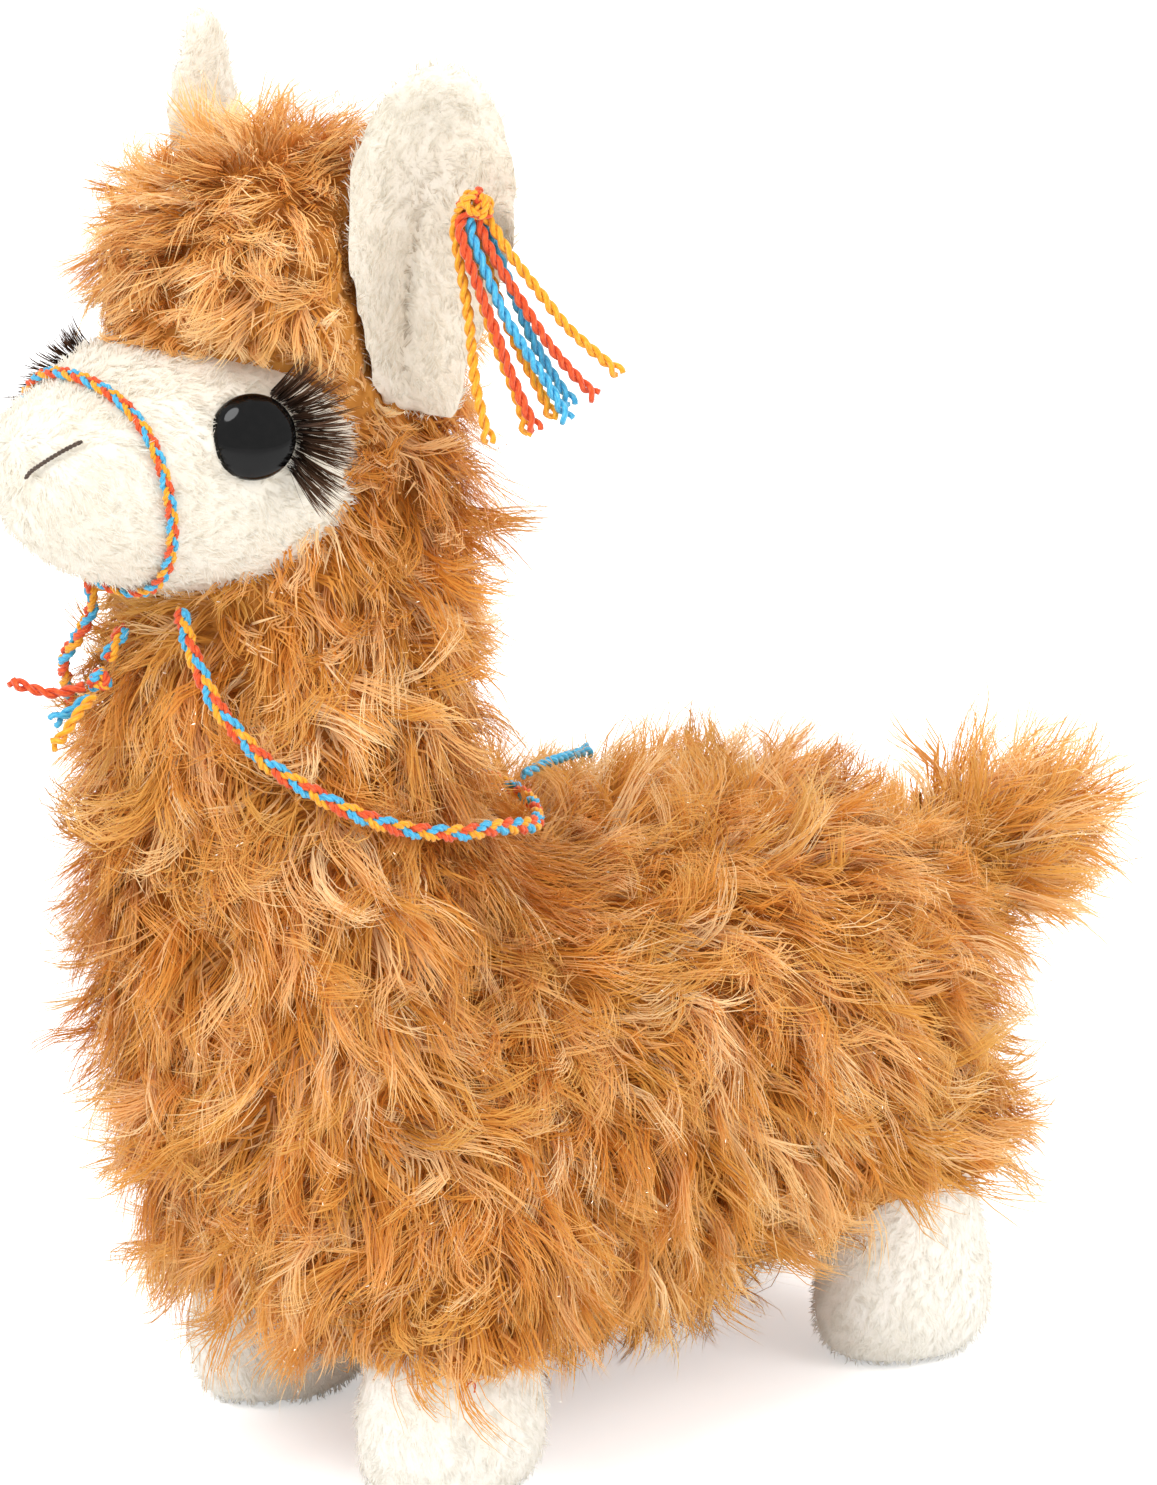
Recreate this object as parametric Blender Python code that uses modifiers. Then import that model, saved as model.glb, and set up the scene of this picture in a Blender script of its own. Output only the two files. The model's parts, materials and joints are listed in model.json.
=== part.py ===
"""Plush llama: a stuffed toy with a long-pile body, cream face, ears and feet, and a braided yarn halter.

Metres, +Z up. The llama looks along -Y and its left side is +X. It stands on its four soles at Z = 0, with
the origin under the middle of its overall box.
"""

import math
import random

import bmesh
import bpy
from mathutils import Matrix, Vector
from mathutils.bvhtree import BVHTree

MM = 0.001
SEED = 21

# Clearance between pieces that are sewn or pressed together
SEAM_GAP = 0.3 * MM

# Torso: a stuffed egg along Y, rounder than an ellipsoid
TORSO_CENTRE = Vector((0, -4, 52.5)) * MM
TORSO_LENGTH = 148 * MM
TORSO_WIDTH = 75 * MM
TORSO_HEIGHT = 78 * MM
TORSO_FULLNESS = 2.6

# Neck: round sections, each (height, place along Y, radius), up to the back of the head
NECK_RINGS = ((44, -45, 32), (58, -48, 33), (75, -53, 31.5), (93, -55.5, 30.5), (112, -56.5, 28.5),
              (128, -56, 26.5), (144, -54, 25.5), (163, -53, 23.5))
COLLAR_HEIGHT = 157 * MM

# Upper legs: short fur-covered stubs, hemmed over the feet
LEG_RADIUS = 17 * MM
LEG_TOP = 48 * MM
FRONT_HEM_HEIGHT = 21 * MM
HIND_HEM_HEIGHT = 28 * MM

# Feet: stuffed, flat-soled, with the toe a little in front of the leg
FOOT_SPREAD = 24 * MM
FRONT_FOOT_PLACE = -46 * MM
# How far the right front foot stands behind the left one
STANCE = 6 * MM
HIND_FOOT_PLACE = 42.5 * MM
FOOT_LENGTH = 32 * MM
FOOT_WIDTH = 25 * MM
FOOT_HEIGHT = 42 * MM
SOLE_ROUNDING = 5 * MM
FOOT_SIDES = 14

# Top and back of the head
CROWN_CENTRE = Vector((0, -58, 172)) * MM
CROWN_WIDTH = 49 * MM
CROWN_LENGTH = 53 * MM
CROWN_HEIGHT = 52 * MM

# Face: sections behind the tip of the nose, each (distance, half width, half height, height of its middle)
NOSE_TIP = -104.5 * MM
FACE_RINGS = ((0.3, 3.5, 3.5, 156), (2.2, 8.5, 8.8, 155.6), (6.5, 12.6, 12.9, 155), (12, 15, 15.6, 154.6),
              (22, 18.4, 18.4, 154), (33, 21.6, 20, 153.5), (43, 22.5, 20.4, 153.5), (51, 17, 16, 154))
FACE_SQUARENESS = 2.2
FACE_SIDES = 20
# The height about which the muzzle is round, and how far outside the head a ray starts that finds the plush
MUZZLE_HEIGHT = 154.6 * MM
RAY_START = 50 * MM

# The opening in the pile that shows the face, an oval seen from the side
OPENING_CENTRE = Vector((0, -86.5, 159)) * MM
OPENING_LENGTH = 49 * MM
OPENING_HEIGHT = 32.5 * MM

# Safety eyes: a dome and its shank in one, locked behind the plush by a washer
EYE_AIM = Vector((19.5, -76.5, 160.5)) * MM
EYE_AXIS = Vector((0.80, -0.55, 0.24)).normalized()
EYE_DIAMETER = 12 * MM
EYE_DOME = 4 * MM
EYE_RIM = 1.2 * MM
EYE_SINK = 1.4 * MM
SHANK_DIAMETER = 3 * MM
SHANK_LENGTH = 11 * MM
WASHER_DIAMETER = 10 * MM
WASHER_THICKNESS = 1.4 * MM
WASHER_DEPTH = 7.5 * MM
TURNED_SIDES = 14
DOME_STEPS = 3

# Eyelashes: a strip round the upper back of the eye with a fan of lashes
LASH_COUNT = 9
LASH_LENGTH = 9 * MM
LASH_FIRST_ANGLE = math.radians(72)
LASH_LAST_ANGLE = math.radians(-36)
LASH_SWEEP = math.radians(14)
LASH_STRIP_RADIUS = 6.9 * MM
LASH_STRIP_THICKNESS = 1.1 * MM
LASH_LIFT = math.radians(56)

# Ears: cupped leaves, each section (share of the length, half width, depth of the cup)
EAR_LENGTH = 54 * MM
EAR_THICKNESS = 4.6 * MM
EAR_SECTIONS = ((0.0, 5.5, 4.5), (0.14, 7, 6), (0.32, 10, 7.5), (0.5, 12.3, 7), (0.68, 12.8, 5.5),
                (0.84, 10.5, 3.5), (0.94, 7, 2), (0.99, 3, 0.8))
EAR_ROOT = Vector((22, -50, 158)) * MM
EAR_FACING = math.radians(48)
EAR_SPLAY = math.radians(7)
EAR_BOW = 3 * MM

# Tail: a short puff sewn low on the rump
TAIL_CENTRE = Vector((0, 81, 68)) * MM
TAIL_LENGTH = 38 * MM
TAIL_WIDTH = 24 * MM
TAIL_HEIGHT = 26 * MM

# Rows of locks of pile, locks in each row, and each lock's size: (how far its tip stands off, its overhang)
TORSO_ROWS, TORSO_LOCKS_ROUND = 7, 11
BODY_LOCK = (5.5 * MM, 6 * MM)
NECK_ROWS, NECK_LOCKS_ROUND = 6, 8
NECK_LOCK = (5 * MM, 6 * MM)
LEG_LOCKS_ROUND = 5
HEM_LOCK = (2 * MM, 5 * MM)
CROWN_ROWS, CROWN_LOCKS_ROUND = 4, 7
CROWN_LOCK = (5.5 * MM, 3.5 * MM)
TAIL_ROWS, TAIL_LOCKS_ROUND = 3, 6
TAIL_LOCK = (5 * MM, 7 * MM)
# The part of the tail's length with locks on it: its root is smooth, and its tip is bare under the last locks
TAIL_SPAN = (0.24, 0.8)
# A lock's height across it, and its stages from root to tip: (share of its row, height, overhang, fullness)
LOCK_PROFILE = (0.0, 0.75, 1.0, 0.75)
LOCK_STAGES = ((0.0, 0.0, 0.0, 1.0), (0.5, 0.6, 0.0, 1.0), (0.94, 1.0, 1.0, 0.6))
# The least and the most that chance makes of a lock's height and overhang
LOCK_CHANCE = (0.6, 1.3)
# The exact solver loses the body where grooves, seats and locks cross
PILE_SOLVER = "MANIFOLD"
# How far down the sides the combing drifts, from the chest to the rump
PILE_DROOP = 0.5
# How far round its form the pile of the head reaches, in shares of a half turn
CROWN_END = 0.75

# Yarn
BRAID_DIAMETER = 2.1 * MM
YARN_DIAMETER = 1.5 * MM
STITCH_DIAMETER = 0.9 * MM
# How far yarn lies off the facets of the plush under it
YARN_REST = 0.55 * MM

# Noseband: a ring round the muzzle, from (distance behind the nose) over the nose to under the chin
NOSEBAND_TOP = 12.5 * MM
NOSEBAND_CHIN = 19 * MM
NOSEBAND_POINTS = 22

# Mouth: a stitch on each side of the muzzle, (distance from the middle, height) from its hook up the cheek, in
# millimetres
MOUTH_LINE = ((4.2, 156.2), (5.0, 157.2), (6.4, 158.3), (7.8, 159.5), (8.8, 160.4), (9.5, 161.0))

# The rein's route on the left side of the neck, from the chin to the top of the back, in millimetres
REIN_LEFT = ((10.8, -82.9, 135.4), (10.9, -82.0, 131.6), (12.8, -82.0, 128.4), (15.2, -82.0, 125.4),
             (18.8, -81.6, 121.4), (23.0, -77.6, 115.0), (27.6, -73.6, 111.2), (31.0, -68.6, 107.8),
             (32.6, -61.0, 104.4), (33.2, -52.0, 102.2), (31.6, -43.0, 101.0), (26.0, -31.6, 98.2),
             (15.0, -23.6, 97.6), (5.0, -21.0, 97.6))
REIN_SPACING = 6.3 * MM

# The free end of the braid on the front of the neck, its knot, and the loose yarns, in millimetres: three at
# the knot, and one on the back where the rein was tied
BRAID_END = ((-0.4, -84.2, 130.8), (-1.4, -85.2, 128.4), (-1.5, -86.6, 126.2))
REIN_KNOT_PLACE = Vector((-1.4, -88.0, 123.6)) * MM
REIN_KNOT_DIAMETER = 3.6 * MM
YARN_ENDS = {
    "red": ((-2.6, -89.8, 122.6), (-5.0, -93.2, 121.8), (-7.2, -96.0, 122.6), (-8.4, -98.2, 123.6)),
    "blue": ((-1.8, -89.6, 121.4), (-2.6, -92.0, 119.6), (-3.0, -95.0, 118.4)),
    "yellow": ((-0.4, -89.8, 121.6), (0.4, -93.0, 120.0), (0.8, -96.0, 117.4), (1.0, -98.0, 116.4)),
    "back_blue": ((6.0, -17.4, 98.2), (3.0, -10.5, 98.0), (-1.0, -3.0, 96.8), (-4.6, 4.0, 95.6)),
}

# Tassel on the left ear: a knot and its hanging yarns, in a layer by the ear and a layer before it, each
# (colour, layer, place across the knot, how far it splays to the back of the ear, drop)
KNOT_DIAMETER = 5.6 * MM
KNOT_ACROSS_EAR = 0.46
KNOT_UP_EAR = 0.64
KNOT_REST = 1.5 * MM
TASSEL_LAYER = 1.0 * MM
TASSEL_OUTWARDS = 4.5 * MM
# The way that the yarns splay, from straight back towards the left side
TASSEL_HEADING = math.radians(17)
TASSEL = (("yellow_1", -1, -2.6, 3.5, 30.0), ("yellow_2", -1, -0.9, 8.5, 28.5), ("yellow_3", -1, 0.8, 10.5, 26.5),
          ("blue_2", -1, 2.3, 12.0, 25.5), ("red_1", 1, -2.7, 11.5, 28.5), ("blue_1", 1, -0.9, 14.5, 26.5),
          ("red_2", 1, 0.8, 17.0, 23.5), ("yellow_4", 1, 2.5, 19.0, 21.5))

COLOURS = {
    "long_pile": (0.64, 0.33, 0.12),
    "crown_pile": (0.66, 0.31, 0.09),
    "cream_plush": (0.87, 0.84, 0.77),
    "eye_black": (0.01, 0.01, 0.012),
    "washer_plastic": (0.75, 0.75, 0.72),
    "lash_fibre": (0.03, 0.012, 0.01),
    "mouth_thread": (0.16, 0.09, 0.07),
    "braided_yarn": (0.80, 0.30, 0.05),
    "yarn_yellow": (0.90, 0.42, 0.02),
    "yarn_red": (0.78, 0.08, 0.02),
    "yarn_blue": (0.07, 0.45, 0.74),
}


def empty_scene():
    """Remove the scene's objects and make the collections for pieces and cutters."""
    for obj in list(bpy.data.objects):
        bpy.data.objects.remove(obj)
    for name in ("plush_llama", "cutters"):
        bpy.context.scene.collection.children.link(bpy.data.collections.new(name))


def material(name):
    """Return the material of that name, with its colour and roughness."""
    found = bpy.data.materials.get(name)
    if found:
        return found
    made = bpy.data.materials.new(name)
    made.use_nodes = True
    shader = made.node_tree.nodes["Principled BSDF"]
    shader.inputs["Base Color"].default_value = (*COLOURS[name], 1)
    shader.inputs["Roughness"].default_value = 0.08 if name == "eye_black" else 0.9
    shader.inputs["Metallic"].default_value = 0.0
    return made


def add_object(name, data, material_name=None, collection="plush_llama"):
    """Link a mesh or curve as an object, with its material."""
    obj = bpy.data.objects.new(name, data)
    bpy.data.collections[collection].objects.link(obj)
    if material_name:
        data.materials.append(material(material_name))
    return obj


def as_cutter(obj):
    """Turn an object into a hidden cutter."""
    for home in list(obj.users_collection):
        home.objects.unlink(obj)
    bpy.data.collections["cutters"].objects.link(obj)
    obj.hide_render = True
    obj.display_type = "WIRE"
    return obj


def bake(obj):
    """Replace an object's data by its evaluated mesh, and weld the caps of a curve."""
    depsgraph = bpy.context.evaluated_depsgraph_get()
    mesh = bpy.data.meshes.new_from_object(obj.evaluated_get(depsgraph))
    if obj.type == "MESH":
        obj.modifiers.clear()
        obj.data = mesh
        return obj
    form = bmesh.new()
    form.from_mesh(mesh)
    bmesh.ops.remove_doubles(form, verts=form.verts, dist=0.00001)
    form.to_mesh(mesh)
    form.free()
    name = obj.name
    made = bpy.data.objects.new(name, mesh)
    made.matrix_world = obj.matrix_world
    for home in obj.users_collection:
        home.objects.link(made)
    bpy.data.objects.remove(obj)
    made.name = name
    return made


def boolean(obj, operation, *others, solver="EXACT"):
    """Add one Boolean modifier for each other object."""
    for other in others:
        modifier = obj.modifiers.new(f"{operation.lower()} {other.name}", "BOOLEAN")
        modifier.operation = operation
        modifier.solver = solver
        modifier.object = other
    return obj


def smooth(obj, degrees=40):
    """Shade an object smooth, apart from edges sharper than the angle."""
    obj.data.shade_smooth()
    obj.data.set_sharp_from_angle(angle=math.radians(degrees))
    return obj


def loft(rings):
    """Return a closed mesh through rings of as many points each, capped at both ends."""
    form = bmesh.new()
    rows = [[form.verts.new(point) for point in ring] for ring in rings]
    sides = len(rows[0])
    for row, following in zip(rows, rows[1:]):
        for i in range(sides):
            j = (i + 1) % sides
            form.faces.new((row[i], row[j], following[j], following[i]))
    form.faces.new(list(reversed(rows[0])))
    form.faces.new(rows[-1])
    bmesh.ops.recalc_face_normals(form, faces=form.faces)
    mesh = bpy.data.meshes.new("loft")
    form.to_mesh(mesh)
    form.free()
    return mesh


def oval(half_width, half_height, sides, squareness=2.0):
    """Return the points of a superellipse, as (across, up) pairs."""
    points = []
    for i in range(sides):
        angle = math.tau * (i + 0.5) / sides
        across, up = math.cos(angle), math.sin(angle)
        points.append((half_width * math.copysign(abs(across) ** (2 / squareness), across),
                       half_height * math.copysign(abs(up) ** (2 / squareness), up)))
    return points


def mirrored(vector, side):
    """Return a vector of the left side, or its mirror image for the right side."""
    return Vector((vector[0] * side, vector[1], vector[2]))


def surface_of(obj):
    """Return the search tree of an object's evaluated mesh."""
    return BVHTree.FromObject(obj, bpy.context.evaluated_depsgraph_get())


def pile_form(name, place, rows, locks_round, lock, rng, span=(0.02, 0.92)):
    """Return a closed form whose skin is rows of overlapping locks of pile.

    The function place gives a point of the smooth form from a share of the way along it, the way that it is
    combed, and a turn round it. Each lock rises from its root to a tip that stands off and hangs over the next
    row, each row is set half a lock round from the one before it, and chance varies the locks a little. The
    span is the part of the form with locks on it.
    """
    lift, overhang = lock
    columns = len(LOCK_PROFILE)
    sides = locks_round * columns
    rings = [[place(0, math.tau * i / sides)[0] for i in range(sides)]]
    for row in range(rows):
        chances = [(rng.uniform(*LOCK_CHANCE), rng.uniform(*LOCK_CHANCE), rng.uniform(-0.5, 0.5))
                   for _ in range(locks_round)]
        for along, height, forward, fullness in LOCK_STAGES:
            share = span[0] + (span[1] - span[0]) * (row + along) / rows
            ring = []
            for i in range(sides):
                lock_index, column = divmod(i + columns // 2 * (row % 2), columns)
                tall, far, swing = chances[lock_index % locks_round]
                crest = LOCK_PROFILE[column] ** (1 / fullness)
                point, out, comb = place(share, math.tau * (i + swing * forward * crest) / sides)
                ring.append(point + out * crest * height * lift * tall + comb * crest * forward * overhang * far)
            rings.append(ring)
    rings.append([place(1, math.tau * i / sides)[0] for i in range(sides)])
    return add_object(name, loft(rings))


def on_form(centre_line, turn, share, section):
    """Return a point of a form, its outward direction and the direction along the form there.

    The centre line gives the middle and the two half sizes of the section at a share of the way.
    """
    def spot(at, angle):
        middle, across, up, half_width, half_height = centre_line(at)
        return middle + across * half_width * section(math.sin(angle)) + up * half_height * section(math.cos(angle))
    step = 0.01
    here = spot(share, turn)
    comb = spot(min(share + step, 1), turn) - spot(max(share - step, 0), turn)
    round_it = spot(share, turn + step) - spot(share, turn - step)
    out = comb.cross(round_it)
    middle = centre_line(share)[0]
    if out.length < 1e-12:
        out = here - middle
    out.normalize()
    if out.dot(here - middle) < 0:
        out.negate()
    return here, out, comb.normalized()


def keep_outer_skin(obj):
    """Delete every island of a mesh but the largest, such as a sliver of pile left by a cut."""
    form = bmesh.new()
    form.from_mesh(obj.data)
    left = set(form.verts)
    islands = []
    while left:
        island, todo = set(), [left.pop()]
        while todo:
            vert = todo.pop()
            island.add(vert)
            fresh = {edge.other_vert(vert) for edge in vert.link_edges} & left
            left -= fresh
            todo.extend(fresh)
        islands.append(island)
    largest = max(islands, key=len)
    bmesh.ops.delete(form, geom=[v for v in form.verts if v not in largest], context="VERTS")
    form.to_mesh(obj.data)
    form.free()
    return obj


def rounded(value):
    """Return the sine or cosine of a section that is a little squarer than an ellipse."""
    return math.copysign(abs(value) ** 0.92, value)


def torso_form(rng):
    """Return the torso, with its pile combed back and down from the chest to the rump."""
    def centre_line(share):
        along = -math.cos(math.pi * share)
        size = max(1 - abs(along) ** TORSO_FULLNESS, 0.004) ** (1 / TORSO_FULLNESS)
        middle = TORSO_CENTRE + Vector((0, along * TORSO_LENGTH / 2, 0))
        return middle, Vector((1, 0, 0)), Vector((0, 0, 1)), TORSO_WIDTH / 2 * size, TORSO_HEIGHT / 2 * size

    def place(share, turn):
        return on_form(centre_line, turn + PILE_DROOP * (share - 0.3) * math.sin(turn), share, rounded)
    return pile_form("fur_body", place, TORSO_ROWS, TORSO_LOCKS_ROUND, BODY_LOCK, rng)


def neck_form(rng):
    """Return the neck and the back of the head, with their pile combed down."""
    top, bottom = NECK_RINGS[-1][0] * MM, NECK_RINGS[0][0] * MM

    def centre_line(share):
        z = top + (bottom - top) * share
        y, radius = ring_at(NECK_RINGS, z)
        return Vector((0, y, z)), Vector((1, 0, 0)), Vector((0, 1, 0)), radius, radius

    def place(share, turn):
        return on_form(centre_line, turn, share, float)
    return as_cutter(pile_form("neck form", place, NECK_ROWS, NECK_LOCKS_ROUND, NECK_LOCK, rng))


def leg_form(x, y, hem, rng):
    """Return one upper leg, with a row of pile that hangs over the foot."""
    def centre_line(share):
        middle = Vector((x, y, LEG_TOP + (hem - LEG_TOP) * share))
        radius = LEG_RADIUS * (1 if share < 0.99 else 0.8)
        return middle, Vector((1, 0, 0)), Vector((0, 1, 0)), radius, radius

    def place(share, turn):
        return on_form(centre_line, turn, share, float)
    return as_cutter(pile_form("leg form", place, 1, LEG_LOCKS_ROUND, HEM_LOCK, rng))


def foot_places():
    """Return the name, X, Y and hem height of each foot."""
    return [("foot_front_left", FOOT_SPREAD, FRONT_FOOT_PLACE, FRONT_HEM_HEIGHT),
            ("foot_front_right", -FOOT_SPREAD, FRONT_FOOT_PLACE + STANCE, FRONT_HEM_HEIGHT),
            ("foot_hind_left", FOOT_SPREAD, HIND_FOOT_PLACE, HIND_HEM_HEIGHT),
            ("foot_hind_right", -FOOT_SPREAD, HIND_FOOT_PLACE, HIND_HEM_HEIGHT)]


def ring_at(rings, z):
    """Return the place along Y and the radius of the neck at a height."""
    for (low, y0, r0), (high, y1, r1) in zip(rings, rings[1:]):
        if z <= high * MM:
            share = (z / MM - low) / (high - low)
            return (y0 + (y1 - y0) * share) * MM, (r0 + (r1 - r0) * share) * MM
    return rings[-1][1] * MM, rings[-1][2] * MM


def make_fur_body(*neighbours):
    """Make the long-pile body, cut to seat what is sewn to it or pressed into it."""
    rng = random.Random(SEED)
    body = torso_form(rng)
    body.data.materials.append(material("long_pile"))
    forms = [neck_form(rng)] + [leg_form(x, y, hem, rng) for _, x, y, hem in foot_places()]
    boolean(body, "UNION", *forms, solver=PILE_SOLVER)
    boolean(body, "DIFFERENCE", *neighbours, solver=PILE_SOLVER)
    return smooth(keep_outer_skin(bake(body)))


def ellipsoid(name, centre, width, length, height, segments=16, rings=10, grow=0.0):
    """Return a stuffed ellipsoid."""
    form = bmesh.new()
    bmesh.ops.create_uvsphere(form, u_segments=segments, v_segments=rings, radius=0.5)
    bmesh.ops.scale(form, vec=(width + 2 * grow, length + 2 * grow, height + 2 * grow), verts=form.verts)
    bmesh.ops.translate(form, vec=centre, verts=form.verts)
    mesh = bpy.data.meshes.new(name)
    form.to_mesh(mesh)
    form.free()
    return add_object(name, mesh)


def slab(name, low, high):
    """Return a cutter that fills the levels from low to high."""
    form = bmesh.new()
    bmesh.ops.create_cube(form, size=1)
    bmesh.ops.scale(form, vec=(TORSO_LENGTH, TORSO_LENGTH, high - low), verts=form.verts)
    bmesh.ops.translate(form, vec=(0, CROWN_CENTRE.y, (high + low) / 2), verts=form.verts)
    mesh = bpy.data.meshes.new(name)
    form.to_mesh(mesh)
    form.free()
    return as_cutter(add_object(name, mesh))


def face_opening():
    """Return a cutter for the opening in the pile: an oval bar right across the head."""
    form = bmesh.new()
    bmesh.ops.create_cone(form, cap_ends=True, segments=24, radius1=0.5, radius2=0.5, depth=TORSO_WIDTH)
    bmesh.ops.rotate(form, cent=(0, 0, 0), matrix=Matrix.Rotation(math.pi / 2, 3, "Y"), verts=form.verts)
    bmesh.ops.scale(form, vec=(1, OPENING_LENGTH, OPENING_HEIGHT), verts=form.verts)
    bmesh.ops.translate(form, vec=OPENING_CENTRE, verts=form.verts)
    mesh = bpy.data.meshes.new("face opening")
    form.to_mesh(mesh)
    form.free()
    return as_cutter(add_object("face opening", mesh))


def make_crown_fur(*neighbours):
    """Make the pile on the top of the head, combed out from its middle, with its fringe over the face."""
    def centre_line(share):
        tilt = math.pi * CROWN_END * share
        middle = CROWN_CENTRE + Vector((0, 0, CROWN_HEIGHT / 2 * math.cos(tilt)))
        width = max(math.sin(tilt), 0.03) / 2
        return middle, Vector((1, 0, 0)), Vector((0, 1, 0)), CROWN_WIDTH * width, CROWN_LENGTH * width

    def place(share, turn):
        return on_form(centre_line, turn, share, float)
    crown = pile_form("crown_fur", place, CROWN_ROWS, CROWN_LOCKS_ROUND, CROWN_LOCK, random.Random(SEED + 1))
    crown.data.materials.append(material("crown_pile"))
    return smooth(keep_outer_skin(bake(boolean(crown, "DIFFERENCE", *neighbours))))


def tail_line(share):
    """Return the middle, the directions and the half sizes of the tail's section at a share of its length."""
    tilt = math.pi * share
    middle = TAIL_CENTRE - Vector((0, TAIL_LENGTH / 2 * math.cos(tilt), 0))
    size = max(math.sin(tilt), 0.05) ** 0.8 / 2
    return middle, Vector((1, 0, 0)), Vector((0, 0, 1)), TAIL_WIDTH * size, TAIL_HEIGHT * size


def make_tail():
    """Make the tail: a smooth root in the body, and locks combed back to its tip."""
    def place(share, turn):
        return on_form(tail_line, turn, share, float)
    tail = pile_form("tail", place, TAIL_ROWS, TAIL_LOCKS_ROUND, TAIL_LOCK, random.Random(SEED + 2), TAIL_SPAN)
    tail.data.materials.append(material("long_pile"))
    return smooth(tail)


def tail_seat():
    """Return a cutter that fits round the tail's root and clears its locks."""
    rings = []
    for share, clearance in ((0.0, SEAM_GAP), (0.1, SEAM_GAP), (TAIL_SPAN[0], SEAM_GAP),
                             (TAIL_SPAN[0] + 0.08, LOCK_CHANCE[1] * TAIL_LOCK[0]),
                             (0.5, SEAM_GAP + LOCK_CHANCE[1] * TAIL_LOCK[0]), (0.9, TAIL_LOCK[0])):
        middle, across, up, half_width, half_height = tail_line(share)
        if share == 0:
            middle = middle - Vector((0, SEAM_GAP, 0))
        rings.append([middle + across * x + up * z
                      for x, z in oval(half_width + clearance, half_height + clearance, 16)])
    return as_cutter(add_object("tail seat", loft(rings)))


def face_form(name, grow=0.0):
    """Return the stuffed face: a loft from the tip of the nose back into the head."""
    rings = []
    for distance, half_width, half_height, height in FACE_RINGS:
        end = -grow if distance == FACE_RINGS[0][0] else grow if distance == FACE_RINGS[-1][0] else 0
        section = oval(half_width * MM + grow, half_height * MM + grow, FACE_SIDES, FACE_SQUARENESS)
        rings.append([(x, NOSE_TIP + distance * MM + end, height * MM + z) for x, z in section])
    return add_object(name, loft(rings), "cream_plush")


def eye_matrix(face_surface, side):
    """Return the frame of an eye: its origin on the plush, its Z axis looking out of the head."""
    axis = mirrored(EYE_AXIS, side)
    seat = face_surface.ray_cast(mirrored(EYE_AIM, side) + axis * RAY_START, -axis)[0]
    across = Vector((0, 0, 1)).cross(axis).normalized() * side
    frame = Matrix((across * side, axis.cross(across * side), axis)).transposed().to_4x4()
    frame.translation = seat - axis * EYE_SINK
    return frame


def turned(name, profile, frame, ring=False):
    """Return a solid turned about its own Z axis from a profile of (radius, height) points.

    The profile runs down its outer side from the axis and back to it, or all round where it is a ring.
    """
    mesh = bpy.data.meshes.new(name)
    edges = [(i, i + 1) for i in range(len(profile) - 1)] + ([(len(profile) - 1, 0)] if ring else [])
    mesh.from_pydata([(radius, 0, height) for radius, height in profile], edges, [])
    obj = add_object(name, mesh)
    screw = obj.modifiers.new("turn", "SCREW")
    screw.steps = screw.render_steps = TURNED_SIDES
    screw.use_merge_vertices = True
    screw.merge_threshold = 0.00001
    obj.matrix_world = frame
    return obj


def eye_profile(grow=0.0):
    """Return the profile of a safety eye: a low dome with a rim, and its shank behind."""
    radius = EYE_DIAMETER / 2 + grow
    shank = SHANK_DIAMETER / 2 + grow
    dome = [(radius * math.sin(turn), EYE_RIM + (EYE_DOME - EYE_RIM + grow) * math.cos(turn))
            for turn in (math.pi / 2 * i / DOME_STEPS for i in range(DOME_STEPS + 1))]
    return dome + [(radius, -grow), (shank, -grow), (shank, -SHANK_LENGTH - grow), (0, -SHANK_LENGTH - grow)]


def washer_profile(inner, grow=0.0):
    """Return the profile of the lock washer round a shank, from its inner edge round and back."""
    outer = WASHER_DIAMETER / 2 + grow
    top, bottom = grow - WASHER_DEPTH, -WASHER_DEPTH - WASHER_THICKNESS - grow
    return [(inner, top), (outer, top), (outer, bottom), (inner, bottom)]


def eye_socket(name, frame):
    """Return a cutter for what an eye, its shank and its washer take up in the face."""
    eye = eye_profile(SEAM_GAP)
    pocket = washer_profile(SHANK_DIAMETER / 2 + SEAM_GAP, SEAM_GAP)
    return as_cutter(turned(name, eye[:-2] + pocket + eye[-2:], frame))


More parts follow.
